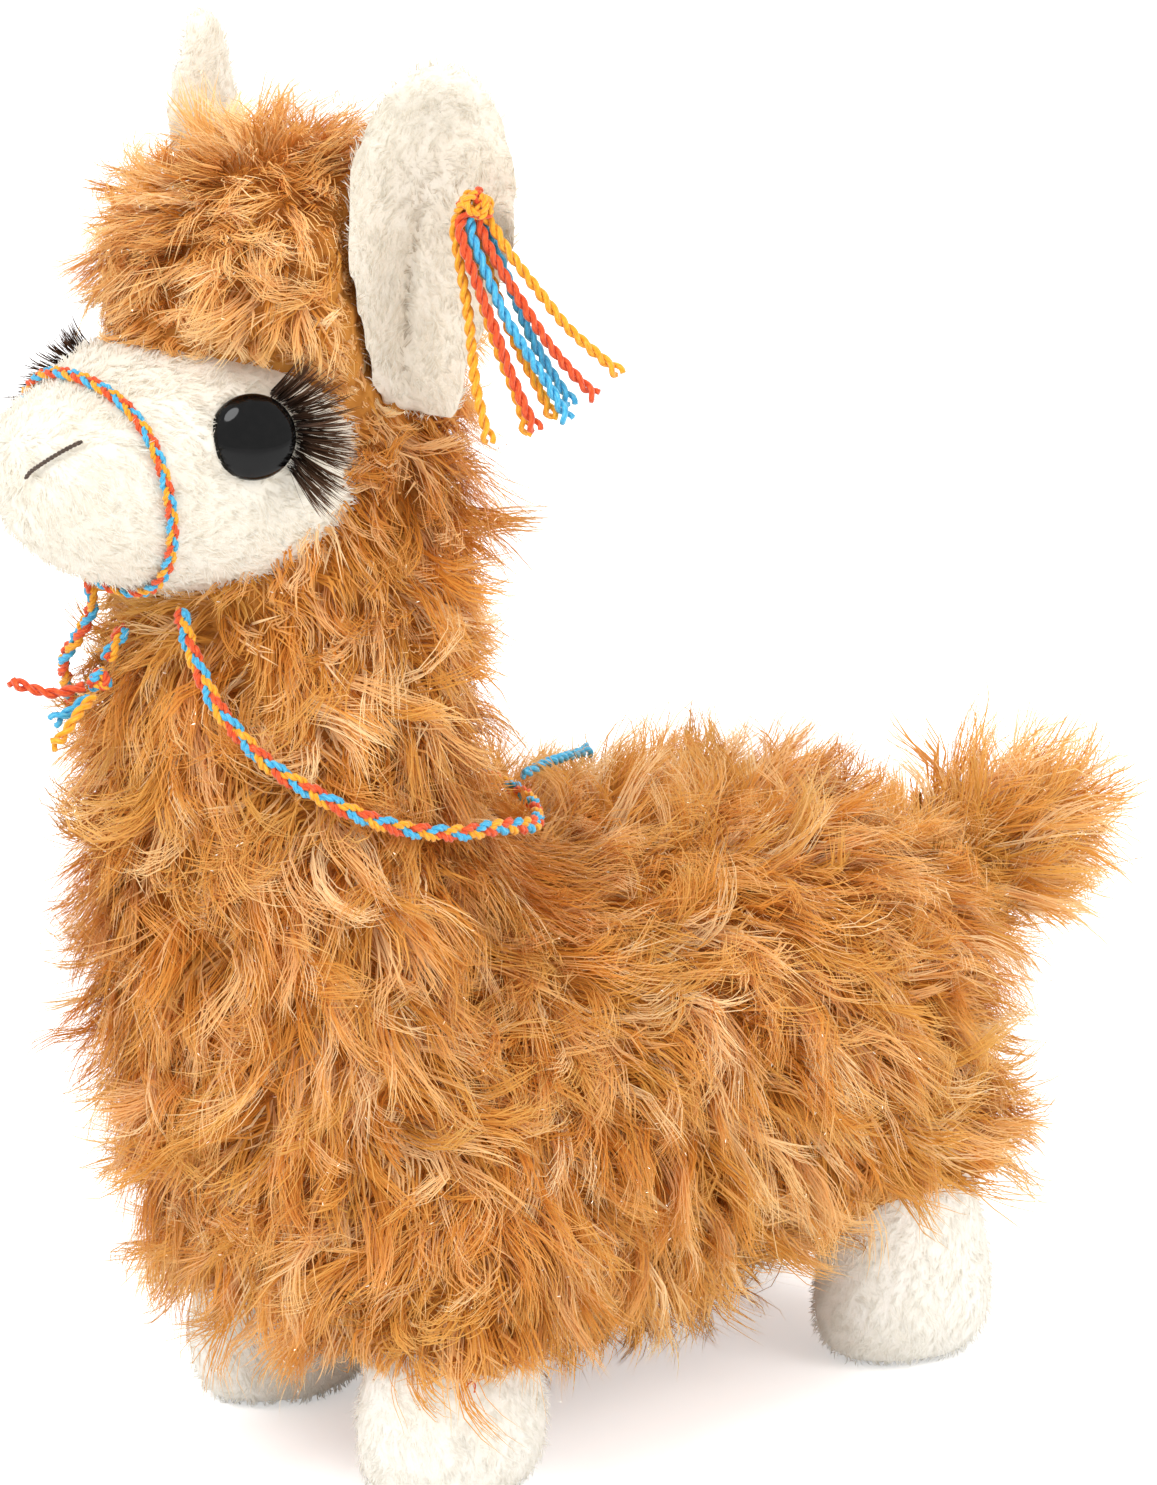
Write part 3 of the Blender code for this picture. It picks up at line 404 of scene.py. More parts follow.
@dataclass(frozen=True)
class Studio:
    """The camera that fits the photograph, plain soft lights and a white floor."""

    azimuth: float = math.radians(50)
    elevation: float = math.radians(16)
    distance: float = 1.10
    focal_pixels: float = 7280
    frame: tuple[float, float] = (1157, 1485)
    foot_pixel: tuple[float, float] = (555, 1377)
    foot_place: Vector = Vector((0, -0.0065, 0))
    sensor: float = 36
    lamps: tuple[tuple[str, Place, float, float], ...] = (
        ("key light", (0.1, -0.8, 0.95), 0.5, 5.6), ("side light", (0.95, 0.25, 0.8), 0.7, 4.2),
        ("rim light", (-0.4, 0.5, 1.0), 0.6, 5.0))
    aim: Vector = Vector((0, 0, 0.1))
    surround: float = 0.86
    glow: float = 0.42

    def axes(self) -> tuple[Vector, Vector, Vector]:
        """Return the ways right and up in the picture, and the way back to the camera."""
        flat = math.cos(self.elevation)
        sine, cosine = math.sin(self.azimuth), math.cos(self.azimuth)
        back = Vector((sine * flat, -cosine * flat, math.sin(self.elevation)))
        right = Vector((cosine, sine, 0))
        return right, back.cross(right), back

    def at_pixel(self, x: float, y: float) -> Vector:
        """Return the place at a pixel of the photograph, as deep in it as the middle of the foot."""
        right, up, _ = self.axes()
        scale = self.distance / self.focal_pixels
        across, high = x - self.foot_pixel[0], self.foot_pixel[1] - y
        return self.foot_place + right * across * scale + up * high * scale

    def stand(self) -> Vector:
        """Return where the camera stands."""
        return self.at_pixel(self.frame[0] / 2, self.frame[1] / 2) + self.axes()[2] * self.distance

    def place_camera(self) -> None:
        """Make the camera, as the scene's own."""
        data = bpy.data.cameras.new("camera")
        data.sensor_width = self.sensor
        data.lens = self.focal_pixels / self.frame[1] * self.sensor
        data.clip_end = 10
        camera = new_object("camera", data)
        camera.matrix_world = aimed(self.stand(), self.axes()[2])
        bpy.context.scene.camera = camera

    def light(self) -> None:
        """Light the toy from above and in front, with white all round, and keep the plain view settings."""
        for name, place, size, watts in self.lamps:
            data = bpy.data.lights.new(name, "AREA")
            data.shape, data.size, data.energy = "DISK", size, watts
            lamp = new_object(name, data)
            lamp.matrix_world = aimed(Vector(place), Vector(place) - self.aim)
            # Only one lamp is mirrored in the eyes, as in the photograph
            lamp.visible_glossy = name.startswith("key")
        world = bpy.data.worlds.new("studio")
        bpy.context.scene.world = world
        world.use_nodes = True
        tree = world.node_tree
        inputs = {"Value": seen(tree), "To Min": self.surround, "To Max": 1.0}
        strength = add_node(tree, "MapRange", inputs=inputs)
        tree.nodes["Background"].inputs["Color"].default_value = linear("FFFFFF")
        tree.links.new(strength.outputs["Result"], tree.nodes["Background"].inputs["Strength"])
        bpy.context.scene.view_settings.view_transform = "Standard"

    def add_floor(self) -> None:
        """Lay a white floor that keeps the soft shadow."""
        bpy.ops.mesh.primitive_plane_add(size=8, location=(0, 0, 0))
        floor = bpy.context.object
        floor.name = "floor"
        made, tree, shader = new_material("matt white paper", {
            "Base Color": "FAFAFA", "Roughness": 0.9, "Specular IOR Level": 0.1, "Emission Color": "FFFFFF"})
        glow = add_node(tree, "Math", {"operation": "MULTIPLY"}, {0: seen(tree), 1: self.glow})
        tree.links.new(glow.outputs[0], shader.inputs["Emission Strength"])
        dress(floor, made)


# Finishes


@dataclass(frozen=True)
class PileFinish:
    """Acrylic pile, knitted in and brushed: dark roots and pale tips, partly the fibre's own colour, partly
    painted shade and light.
    """

    name: str
    root: str
    middle: str
    body: str
    tip: str
    patch: str
    pale: str = "FEE6B6"
    pale_share: float = 0.85
    patch_share: float = 0.45
    patch_scale_mm: float = 24

    def make(self) -> Material:
        """Make the material.

        Returns:
            A material that reads each strand's own values: R along it, G its tint, B its lock's tint.
        """
        made, tree, shader = new_material(self.name, {
            "Roughness": 0.52, "Specular IOR Level": 0.14, "Sheen Weight": 0.08, "Sheen Roughness": 0.4,
            "Sheen Tint": "FFD9A0"})
        strand = strand_values(tree)
        # Painted shade deep in the pile and painted light at the tips, over the fibre's own colour along it
        stops = ((0.0, self.root), (0.34, self.middle), (0.68, self.body), (1.0, self.tip))
        colour = ramp(tree, strand["Red"], stops)
        patches = mottle(tree, 1 / (self.patch_scale_mm * MM))
        mixed = add_node(tree, "Math", {"operation": "ADD"}, {0: patches, 1: strand["Blue"]})
        share = add_node(tree, "MapRange", inputs={
            "Value": mixed.outputs[0], "From Min": 0.75, "From Max": 1.25, "To Min": 0.0,
            "To Max": self.patch_share})
        colour = blend(tree, share.outputs["Result"], colour, self.patch, "MULTIPLY")
        pale = add_node(tree, "MapRange", inputs={"Value": strand["Green"], "From Min": 0.5, "From Max": 0.9,
                                                  "To Min": 0.0, "To Max": self.pale_share})
        colour = blend(tree, pale.outputs["Result"], colour, self.pale)
        tint = add_node(tree, "MapRange", inputs={"Value": strand["Green"], "To Min": 0.8, "To Max": 1.12})
        bright = add_node(tree, "HueSaturation", inputs={"Color": colour, "Value": tint.outputs["Result"]})
        let_through(tree, shader, bright.outputs["Color"], 0.32)
        return made


@dataclass(frozen=True)
class BackingFinish:
    """The knitted ground of the pile fabric, matted with short roots, dark between the locks."""

    name: str = "knitted pile ground"
    light: str = "CF8F45"
    dark: str = "A3652A"

    def make(self) -> Material:
        """Make the material.

        Returns:
            A matt mottled brown.
        """
        made, tree, shader = new_material(self.name, {"Roughness": 1.0, "Specular IOR Level": 0.0})
        colour = ramp(tree, mottle(tree, 420.0, 3.0), ((0.3, self.dark), (0.7, self.light)))
        tree.links.new(colour, shader.inputs["Base Color"])
        return made


# Pile


@dataclass(frozen=True)
class Coat:
    """How one kind of pile grows. Lengths are in millimetres and angles in radians.

    Args:
        density: strands on each square millimetre.
        length: of a strand.
        lock: width of a lock.
        tuft: width of a tuft in a lock.
        width: of one strand.
        rise: how steeply a lock leaves the fabric.
        lay: how steeply its end stands off.
        curl: how far a lock curls round on the fabric.
        swirl: the most that chance turns the combing.
        sag: how much it falls under its own weight.
        wave: how far the crimp swings each tuft to its sides.
        kink: how far each strand winds from side to side.
        pull: how closely a tuft and a lock draw together at their ends, from 0 to 1.
        frizz: how far single strands stray, as a share of their length.
        wild: the share of strands that leave their tuft.
        segments: of one strand.
    """

    density: float
    length: float
    lock: float
    tuft: float
    width: float
    rise: float = 0.85
    lay: float = 0.15
    curl: float = 1.1
    swirl: float = 1.4
    sag: float = 0.35
    wave: float = 0.4
    kink: float = 0.55
    pull: tuple[float, float] = (0.7, 0.3)
    frizz: float = 0.05
    segments: int = 4
    wild: float = 0.06


# How far a strand is shaded as its tuft rather than as itself, and how far its normals lean out at its edges
TUFT_SHADE = 0.75
EDGE_LEAN = 0.35


class Region(Enum):
    """The parts of the pelt, each combed and coloured in its own way."""

    BODY = 0
    CROWN = 1
    TAIL = 2
    BARE = 3


@dataclass
class Strands:
    """A set of strands and the values that go with them.

    Args:
        points: strands by points along them by three.
        facing: the way that the flat side of each strand looks.
        width: of each strand, in metres.
        tint: each strand's own chance value.
        lock: each strand's lock's chance value, or how shaded a strand of nap lies.
        soft: the way that its tuft looks as a whole, which shades it, or none for its own flat side.
    """

    points: Array
    facing: Array
    width: Array
    tint: Array
    lock: Array
    soft: Array | None = None

    def __post_init__(self) -> None:
        """Shade each strand by its own flat side where nothing else is given."""
        self.soft = self.facing if self.soft is None else self.soft

    def chosen(self, mask: Array) -> Strands:
        """Return some of the strands."""
        return Strands(*(getattr(self, part.name)[mask] for part in fields(self)))

    def shortened(self, share: Array, mask: Array) -> Strands:
        """Return some of the strands, each drawn back to a share of its length."""
        root = self.points[:, :1]
        self.points = root + (self.points - root) * share[:, None, None]
        return self.chosen(mask)

    def mesh(self, name: str) -> Object:
        """Make one mesh of all strands: flat tapered ribbons.

        Args:
            name: the piece's name.

        Returns:
            The new object, with the "strand" values and a UV cell for each strand.
        """
        count, rows = self.points.shape[0], self.points.shape[1] - 1
        per = 2 * rows + 1
        lefts, rights = np.s_[:, 0:2 * rows:2], np.s_[:, 1:2 * rows:2]
        tangent = unit(np.gradient(self.points, axis=1))
        side = unit(np.cross(tangent, self.facing[:, None, :]))[:, :rows]
        taper = np.interp(np.arange(rows) / rows, (0.0, 0.3, 0.7, 1.0), (0.9, 1.0, 0.8, 0.3))
        half = side * (self.width[:, None] * taper[None, :] / 2)[:, :, None]
        places = np.empty((count, per, 3), np.float32)
        places[lefts] = self.points[:, :rows] - half
        places[rights] = self.points[:, :rows] + half
        places[:, -1] = self.points[:, rows]
        first = (np.arange(count) * per)[:, None]
        quads = np.array([[2 * r, 2 * r + 1, 2 * r + 3, 2 * r + 2] for r in range(rows - 1)]).reshape(-1)
        tip = np.array([[per - 3, per - 2, per - 1]])
        loops = np.concatenate([first + quads[None, :], first + tip], axis=1)
        sizes = np.tile(np.array([4] * (rows - 1) + [3]), count)
        mesh = bpy.data.meshes.new(name)
        mesh.vertices.add(count * per)
        mesh.vertices.foreach_set("co", places.ravel())
        mesh.loops.add(loops.size)
        mesh.loops.foreach_set("vertex_index", loops.ravel().astype(np.int32))
        mesh.polygons.add(len(sizes))
        mesh.polygons.foreach_set("loop_start", np.concatenate([[0], np.cumsum(sizes)[:-1]]).astype(np.int32))
        mesh.update(calc_edges=True)
        mesh.shade_smooth()
        # The normals lean outwards at both edges, so that a flat ribbon is shaded as a round fibre
        looks = self.soft * TUFT_SHADE + self.facing * (1 - TUFT_SHADE)
        looks = np.repeat(looks[:, None, :], per, axis=1)
        looks[lefts] -= EDGE_LEAN * side
        looks[rights] += EDGE_LEAN * side
        mesh.normals_split_custom_set_from_vertices(unit(looks).reshape(-1, 3))
        along = np.empty((count, per), np.float32)
        along[lefts] = along[rights] = (np.arange(rows) / rows)[None, :]
        along[:, -1] = 1
        values = np.ones((count, per, 4), np.float32)
        values[..., 0] = along
        values[..., 1] = self.tint[:, None]
        values[..., 2] = self.lock[:, None]
        mesh.attributes.new("strand", "FLOAT_COLOR", "POINT").data.foreach_set("color", values.ravel())
        self.lay_out(mesh, along, loops)
        return new_object(name, mesh)

    def lay_out(self, mesh: Mesh, along: Array, loops: Array) -> None:
        """Give each strand its own small cell of the UV map.

        Args:
            mesh: the strands' mesh.
            along: how far along its strand each vertex is.
            loops: the vertex of each corner.
        """
        count, per = along.shape
        cells = math.ceil(math.sqrt(count))
        number = np.arange(count)
        across = np.full((count, per), 0.5)
        # A cell keeps a margin round its strand, so that the baked colours of two strands don't run together
        across[:, 0:per - 1:2], across[:, 1:per - 1:2] = 0.15, 0.85
        u = ((number % cells)[:, None] + across) / cells
        v = ((number // cells)[:, None] + 0.1 + 0.8 * along) / cells
        uv = np.stack([u, v], axis=2).reshape(-1, 2)[loops.ravel()]
        mesh.uv_layers.new(name="OFBake").data.foreach_set("uv", uv.astype(np.float32).ravel())


def nearest_centres(places: Array, centres: Array) -> Array:
    """Return the number of the nearest centre of each place."""
    tree = point_tree(centres)
    return np.array([tree.find(place)[1] for place in places])


def noise_at(places: Array, size_mm: float, shift: float) -> Array:
    """Return smooth noise, from about -1 to 1, at each place.

    Args:
        places: the points.
        size_mm: how large its features are.
        shift: picks another noise.

    Returns:
        One value for each place.
    """
    scale = 1 / (size_mm * MM)
    offset = Vector((shift, shift * 1.7, -shift))
    return np.array([noise.noise(Vector(place) * scale + offset) for place in places])


def grow(roots: Array, normals: Array, combs: Array, coat: Coat, rng: np.random.Generator,
         scale: Array | None = None) -> Strands:
    """Grow locks of pile.

    A lock shares its curl, a tuft in it varies that a little, and each strand varies it again.

    Args:
        roots: where the strands leave the fabric.
        normals: of the fabric there.
        combs: the way that it is combed there.
        coat: the kind of pile.
        rng: the source of chance.
        scale: how long each strand is, as a share of the coat's length.

    Returns:
        The strands.
    """
    count = len(roots)
    scale = np.ones(count) if scale is None else scale
    lock_count = max(8, round(count / coat.density / coat.lock ** 2))
    tuft_count = min(count, max(16, round(count / coat.density / coat.tuft ** 2)))
    lock_roots = rng.choice(count, lock_count, replace=False)
    tuft_roots = rng.choice(count, tuft_count, replace=False)
    tuft = nearest_centres(roots, roots[tuft_roots])
    tuft_lock = nearest_centres(roots[tuft_roots], roots[lock_roots])
    lock = tuft_lock[tuft]

    def shared(by_lock: float, by_tuft: float, by_strand: float) -> Array:
        """Return chance values that a lock's strands share, with less of a tuft's and of each strand's own."""
        return (rng.normal(0, by_lock, lock_count)[lock] + rng.normal(0, by_tuft, tuft_count)[tuft]
                + rng.normal(0, by_strand, count))

    centre = roots[lock_roots]
    swirl = (noise_at(centre, 30, 3.1) * 1.2 + noise_at(centre, 10, 9.7) * 1.1) * coat.swirl
    turn = swirl[lock] + shared(0.4, 0.3, 0.06)
    bend = shared(0.9, 0.5, 0.12) * coat.curl
    kink, kink_phase = shared(0.4, 0.8, 0.15) * coat.kink, shared(1.5, 0.8, 0.2)
    up = soft_step(normals[:, 2], 0.2, 0.9)
    rise = coat.rise * (1 + shared(0.2, 0.18, 0.08) + 0.15 * up)
    lay = coat.lay + shared(0.22, 0.18, 0.07) + 0.15 * up
    length = coat.length * MM * (1 + np.clip(shared(0.14, 0.08, 0.1), -0.45, 0.4)) * scale
    out = unit(normals)
    comb = unit(combs - out * np.sum(combs * out, axis=1, keepdims=True))
    across = np.cross(out, comb)
    steps = []
    for k in range(coat.segments):
        t = (k + 0.5) / coat.segments
        angle = turn + bend * (t - 0.25) + kink * np.sin(math.tau * 1.1 * t + kink_phase)
        climb = rise * (1 - t) ** 1.2 + lay * t + 0.5 * kink * np.cos(math.tau * 1.1 * t + kink_phase) * t
        flat = comb * np.cos(angle)[:, None] + across * np.sin(angle)[:, None]
        heading = flat * np.cos(climb)[:, None] + out * np.sin(climb)[:, None]
        heading[:, 2] -= coat.sag * t * (1 - 0.7 * up)
        steps.append(unit(heading) * (length / coat.segments)[:, None])
    guide = np.concatenate([np.zeros((count, 1, 3)), np.cumsum(np.stack(steps, axis=1), axis=1)], axis=1)
    t = np.linspace(0, 1, coat.segments + 1)
    wild = (rng.random(count) < coat.wild)[:, None]
    tuft_place = roots[tuft_roots][tuft]
    tuft_pull = np.where(wild, 0.2, coat.pull[0]) * (t ** 0.6 * (1 - 0.2 * t ** 3))[None, :]
    lock_pull = np.where(wild, 0.1, coat.pull[1]) * (t ** 0.8)[None, :]
    stray = rng.normal(0, 1, (count, 3)) * np.where(wild, 2.2, 1.0) * coat.frizz * length[:, None]
    crimp = np.sin(math.tau * (rng.uniform(0, 1, lock_count)[lock][:, None] + 1.3 * t[None, :])
                   + rng.normal(0, 0.7, tuft_count)[tuft][:, None]) * t[None, :] * coat.wave * MM
    points = (roots[:, None, :] + guide
              + (tuft_place - roots)[:, None, :] * tuft_pull[:, :, None]
              + (centre[lock] - tuft_place)[:, None, :] * lock_pull[:, :, None]
              + stray[:, None, :] * (t ** 1.5)[None, :, None] + across[:, None, :] * crimp[:, :, None])
    heading = unit(guide[:, -1])
    roll = rng.normal(0, 0.25, count)[:, None]
    flat = unit(out - heading * np.sum(out * heading, axis=1, keepdims=True) * 0.98)
    facing = unit(flat * np.cos(roll) + np.cross(heading, flat) * np.sin(roll))
    lean = unit(rng.normal(0, 1, (tuft_count, 3)))[tuft] + 0.6 * unit(rng.normal(0, 1, (lock_count, 3)))[lock]
    soft = unit(out + 0.2 * lean + np.array([0.0, -0.12, 0.45]))
    tint = np.clip(0.5 + shared(0.08, 0.19, 0.04), 0, 1)
    lock_tint = np.clip(rng.normal(0.5, 0.2, lock_count), 0, 1)[lock]
    width = coat.width * MM * rng.uniform(0.75, 1.3, count)
    return Strands(points, facing, width, tint, lock_tint, soft)


def scatter(obj: Object, per_mm2: float, faces: Array,
            rng: np.random.Generator) -> tuple[Array, Array]:
    """Scatter roots over some faces of a mesh.

    Args:
        obj: a mesh of triangles.
        per_mm2: how many roots on each square millimetre.
        faces: true for each face that takes roots.
        rng: the source of chance.

    Returns:
        The roots' corner vertices (three each) and their weights.
    """
    corners, places = corners_of(obj), vertices_of(obj)
    a, b, c = (places[corners[:, k]] for k in range(3))
    area = np.linalg.norm(np.cross(b - a, c - a), axis=1) / 2 * faces
    count = round(area.sum() / MM ** 2 * per_mm2)
    face = rng.choice(len(area), count, p=area / area.sum())
    u, v = rng.random(count), rng.random(count)
    flip = u + v > 1
    u, v = np.where(flip, 1 - u, u), np.where(flip, 1 - v, v)
    return corners[face], np.stack([1 - u - v, u, v], axis=1)


def interpolated(values: Array, corners: Array, weights: Array) -> Array:
    """Return values of vertices at roots between them."""
    return np.einsum("ijk,ij->ik", values[corners], weights)


@dataclass
class Pelt:
    """The pile fabric of the body, head and tail: its knitted ground, and the pile on it."""

    voxel_mm: float = 2.8
    body_inset_mm: float = 6.0
    leg_inset_mm: float = 3.5
    crown_inset_mm: float = 3.5
    tail_inset_mm: float = 5.5
    bare_inset_mm: float = 5.0
    body: Coat = Coat(density=1.32, length=14.5, lock=6.0, tuft=2.7, width=0.178, rise=0.95, lay=0.32,
                      curl=1.7, sag=0.3, kink=0.35, pull=(0.84, 0.25), frizz=0.03, segments=5)
    crown: Coat = Coat(density=2.7, length=11.0, lock=4.2, tuft=2.0, width=0.18, rise=0.95, lay=0.25, curl=1.8,
                       sag=0.1, kink=0.35, pull=(0.7, 0.15), frizz=0.05)
    tail: Coat = Coat(density=2.0, length=17.0, lock=4.8, tuft=2.0, width=0.2, rise=0.85, lay=0.2, curl=0.9,
                      swirl=0.6, sag=0.15, kink=0.35, pull=(0.88, 0.6), frizz=0.03)
    under: Coat = Coat(density=0.86, length=9.5, lock=5.0, tuft=2.0, width=0.34, rise=0.85, lay=0.25, curl=1.5,
                       sag=0.25, pull=(0.5, 0.2), frizz=0.05, segments=2)
    press_reach_mm: float = 20
    press_width_mm: float = 4.5
    press_escape: float = 0.1
    press_back: float = -0.047
    ear_gap_mm: float = 0.4
    belly_hem_mm: float = 5
    front_hem_mm: float = 21
    hind_hem_mm: float = 29
    hem_reach_mm: tuple[float, float] = (19, 27)
    seed: int = 7

    def make(self, rein: Rein, rng: np.random.Generator) -> None:
        """Make the ground and its pile, which ends before the ears' cups and lies flat under the rein.

        Args:
            rein: the braid that lies on the pile.
            rng: the source of chance.
        """
        ground = self.make_ground()
        grown = self.grow_all(ground)
        line = rein.line(1 * MM)
        outward = rein.outward(line)
        ears, ear = tree_of("plush_ear_left", "plush_ear_right"), EarShape()
        for layer in ("body", "crown", "under"):
            strands = self.trimmed(grown[layer], self.inside_of(grown[layer], ears, self.ear_gap_mm))
            for side in SIDES.values():
                before = ear.before(strands.points.reshape(-1, 3), side).reshape(strands.points.shape[:2])
                strands = self.trimmed(strands, before > 0)
            grown[layer] = strands
        # The pile is pressed flat only under the left front of the rein, which the photograph shows
        front = (line[:, 1] < self.press_back) & (line[:, 0] > 0)
        for layer in ("body", "under"):
            grown[layer] = self.press(grown[layer], line[front], outward[front], rng)
        backing = BackingFinish().make()
        finish_piece(ground, backing, ("fur_body", "crown_fur", "tail"))
        self.dress(grown, rng)

    def dress(self, grown: dict[str, Strands], rng: np.random.Generator) -> None:
        """Make the pieces of the pile and its tinsel.

        Args:
            grown: the strands of each layer.
            rng: the source of chance.
        """
        long_pile = PileFinish("brushed acrylic long pile", "C88230", "E9A546", "F5BA60", "FBCC80",
                               "F8C268").make()
        crown_pile = PileFinish("brushed acrylic wool pile", "DC9E4C", "F8BA66", "FDCE84", "FEDEA6",
                                "FAD082").make()
        # A layer is cut into bands of height, so that no piece passes 200,000 triangles
        for layer, stem, bands in (("body", "long_pile", ("low", "flank", "back", "neck")),
                                   ("under", "under_pile", ("low", "high"))):
            height = grown[layer].points[:, 0, 2]
            edges = np.quantile(height, np.arange(1, len(bands)) / len(bands))
            band = np.digitize(height, edges, right=layer == "under")
            for number, name in enumerate(bands):
                piece = grown[layer].chosen(band == number).mesh(f"{stem}_{name}")
                finish_piece(piece, long_pile, ("fur_body",))
        finish_piece(grown["tail"].mesh("long_pile_tail"), long_pile, ("tail",))
        finish_piece(grown["crown"].mesh("crown_pile"), crown_pile, ("crown_fur",))
        glints = tinsel([grown[layer] for layer in ("body", "crown", "tail")], rng).mesh("tinsel_glints")
        finish_piece(glints, tinsel_material())

    def make_ground(self) -> Object:
        """Make the knitted ground: the CAD forms in one skin, smoothed and drawn in to the roots of the pile.

        Returns:
            The ground, of triangles. Its outer form, its normals and its regions are kept for the pile.
        """
        ground = merged_copy("pile_ground", ("fur_body", "crown_fur", "tail", "face", *FEET))
        apply_modifier(ground, "REMESH", mode="VOXEL", voxel_size=self.voxel_mm * MM)
        apply_modifier(ground, "TRIANGULATE")
        places = relaxed(ground, vertices_of(ground), 14)
        set_vertices(ground, places)
        self.outer = places.copy()
        self.out = relaxed(ground, normals_of(ground), 6)
        self.region = self.regions(places)
        inset = np.select([self.region == r.value for r in (Region.CROWN, Region.TAIL, Region.BARE)],
                          [self.crown_inset_mm, self.tail_inset_mm, self.bare_inset_mm], self.body_inset_mm)
        legs = (1 - soft_step(places[:, 2], 26 * MM, 44 * MM)) * (self.region == Region.BODY.value)
        inset = inset + (self.leg_inset_mm - inset) * legs
        inset = relaxed(ground, inset[:, None], 6)[:, 0]
        for _ in range(6):
            places = places - normals_of(ground) * (inset / 6 * MM)[:, None]
            places = relaxed(ground, places, 2, 0.4)
            set_vertices(ground, places)
        ear = EarShape()
        for side in SIDES.values():
            way = np.array(ear.frame(side))[:3, 1]
            places = places - way[None, :] * ear.before(places, side)[:, None]
        set_vertices(ground, places)
        ground.data.shade_smooth()
        self.places = places
        return ground

    def regions(self, places: Array) -> Array:
        """Say which part of the pelt each place of the outer form belongs to.

        Args:
            places: points on the outer form.

        Returns:
            A Region value for each.
        """
        trees = ((Region.BODY, tree_of("fur_body")), (Region.CROWN, tree_of("crown_fur")),
                 (Region.TAIL, tree_of("tail")), (Region.BARE, tree_of("face", *FEET)))
        found = []
        for place in places:
            spot = Vector(place)
            gaps = [(tree.find_nearest(spot)[3], region.value) for region, tree in trees]
            found.append(min(gaps)[1])
        return np.array(found)

    def combing(self, places: Array, region: Array) -> Array:
        """Return the way that the pile is combed.

        Args:
            places: points on the outer form.
            region: the Region value of each.

        Returns:
            A direction for each.
        """
        x, y, z = (places / MM).T
        neck = soft_step(z, 78, 100) * (1 - soft_step(y, -25, -5))
        flank = np.stack([x * 0.004, 0.55 + 0 * y, -0.8 + 0 * z], axis=1)
        down = np.stack([x * 0.004, -0.25 + 0 * y, -1 + 0 * z], axis=1)
        chest = (1 - soft_step(y, -45, -20))[:, None]
        flow = flank * (1 - chest) + down * chest
        flow = flow * (1 - neck[:, None]) + down * neck[:, None]
        rump = soft_step(y, 45, 65)[:, None]
        flow = flow * (1 - rump) + np.array([0, 0.5, -0.7]) * rump
        top = np.array([0, -0.0595, 0.186])
        spread = places - top
        spread[:, 2] -= 0.004
        tail = np.stack([x * 0.03, 1 + 0 * y, (z - 68) * 0.03], axis=1)
        flow = np.where((region == Region.CROWN.value)[:, None], spread / 0.02, flow)
        return unit(np.where((region == Region.TAIL.value)[:, None], tail, flow))

    def press(self, strands: Strands, line: Array, outward: Array, rng: np.random.Generator) -> Strands:
        """Press strands down under a braid that lies on them.

        Args:
            strands: the strands.
            line: the braid's centre line.
            outward: the way off the toy along it.
            rng: the source of chance, as a few strands lie over the braid.

        Returns:
            The strands, with their points under the braid.
        """
        tree = point_tree(line)
        near = np.array([tree.find(root)[2] for root in strands.points[:, 0]]) < self.press_reach_mm * MM
        near &= rng.random(len(near)) > self.press_escape
        points = strands.points[near].reshape(-1, 3)
        nearest = np.array([tree.find(place)[1] for place in points])
        off = points - line[nearest]
        height = np.sum(off * outward[nearest], axis=1)
        aside = np.linalg.norm(off - outward[nearest] * height[:, None], axis=1)
        limit = (-0.9 + 5.0 * soft_step(aside / MM, 1.2, self.press_width_mm)) * MM
        fade = 1 - soft_step(aside / MM, self.press_width_mm * 0.7, self.press_width_mm)
        over = np.maximum(height - limit, 0) * fade
        points = points - outward[nearest] * over[:, None]
        strands.points[near] = points.reshape(-1, strands.points.shape[1], 3)
        return strands

    def trimmed(self, strands: Strands, inside: Array) -> Strands:
        """Shorten strands so that they end before a space that they would enter.

        Args:
            strands: the strands.
            inside: true for each point of each strand that lies in that space.

        Returns:
            The strands that are left: those rooted in that space, or just before it, go.
        """
        rows = inside.shape[1] - 1
        first = np.where(inside.any(axis=1), inside.argmax(axis=1), rows + 1)
        return strands.shortened(np.where(first > rows, 1.0, (first - 0.7) / rows), first > 0)

    def inside_of(self, strands: Strands, tree: BVHTree, gap_mm: float) -> Array:
        """Say which points of strands lie in another piece, or close to it.

        Args:
            strands: the strands.
            tree: the search tree of the other piece.
            gap_mm: how close is close.

        Returns:
            True for each such point.
        """
        inside = np.zeros(strands.points.shape[:2], bool)
        for i, points in enumerate(strands.points):
            if tree.find_nearest(Vector(points[0]), 20 * MM)[0] is None:
                continue
            for k, point in enumerate(points):
                spot, normal, _, gap = tree.find_nearest(Vector(point))
                if gap < gap_mm * MM or (gap < 6 * MM and (Vector(point) - spot).dot(normal) < 0):
                    inside[i, k] = True
                    break
        return inside

    def grow_all(self, ground: Object) -> dict[str, Strands]:
        """Grow the pile of every region, in a long layer and a short one under it.

        Args:
            ground: the knitted ground.

        Returns:
            The strands of each layer: body, crown, tail and the short pile under them.
        """
        rng = np.random.default_rng(self.seed)
        kinds = {"body": (Region.BODY,), "crown": (Region.CROWN,), "tail": (Region.TAIL,),
                 "under": (Region.BODY, Region.CROWN, Region.TAIL)}
        return {name: self.layer(ground, regions, getattr(self, name), rng) for name, regions in kinds.items()}

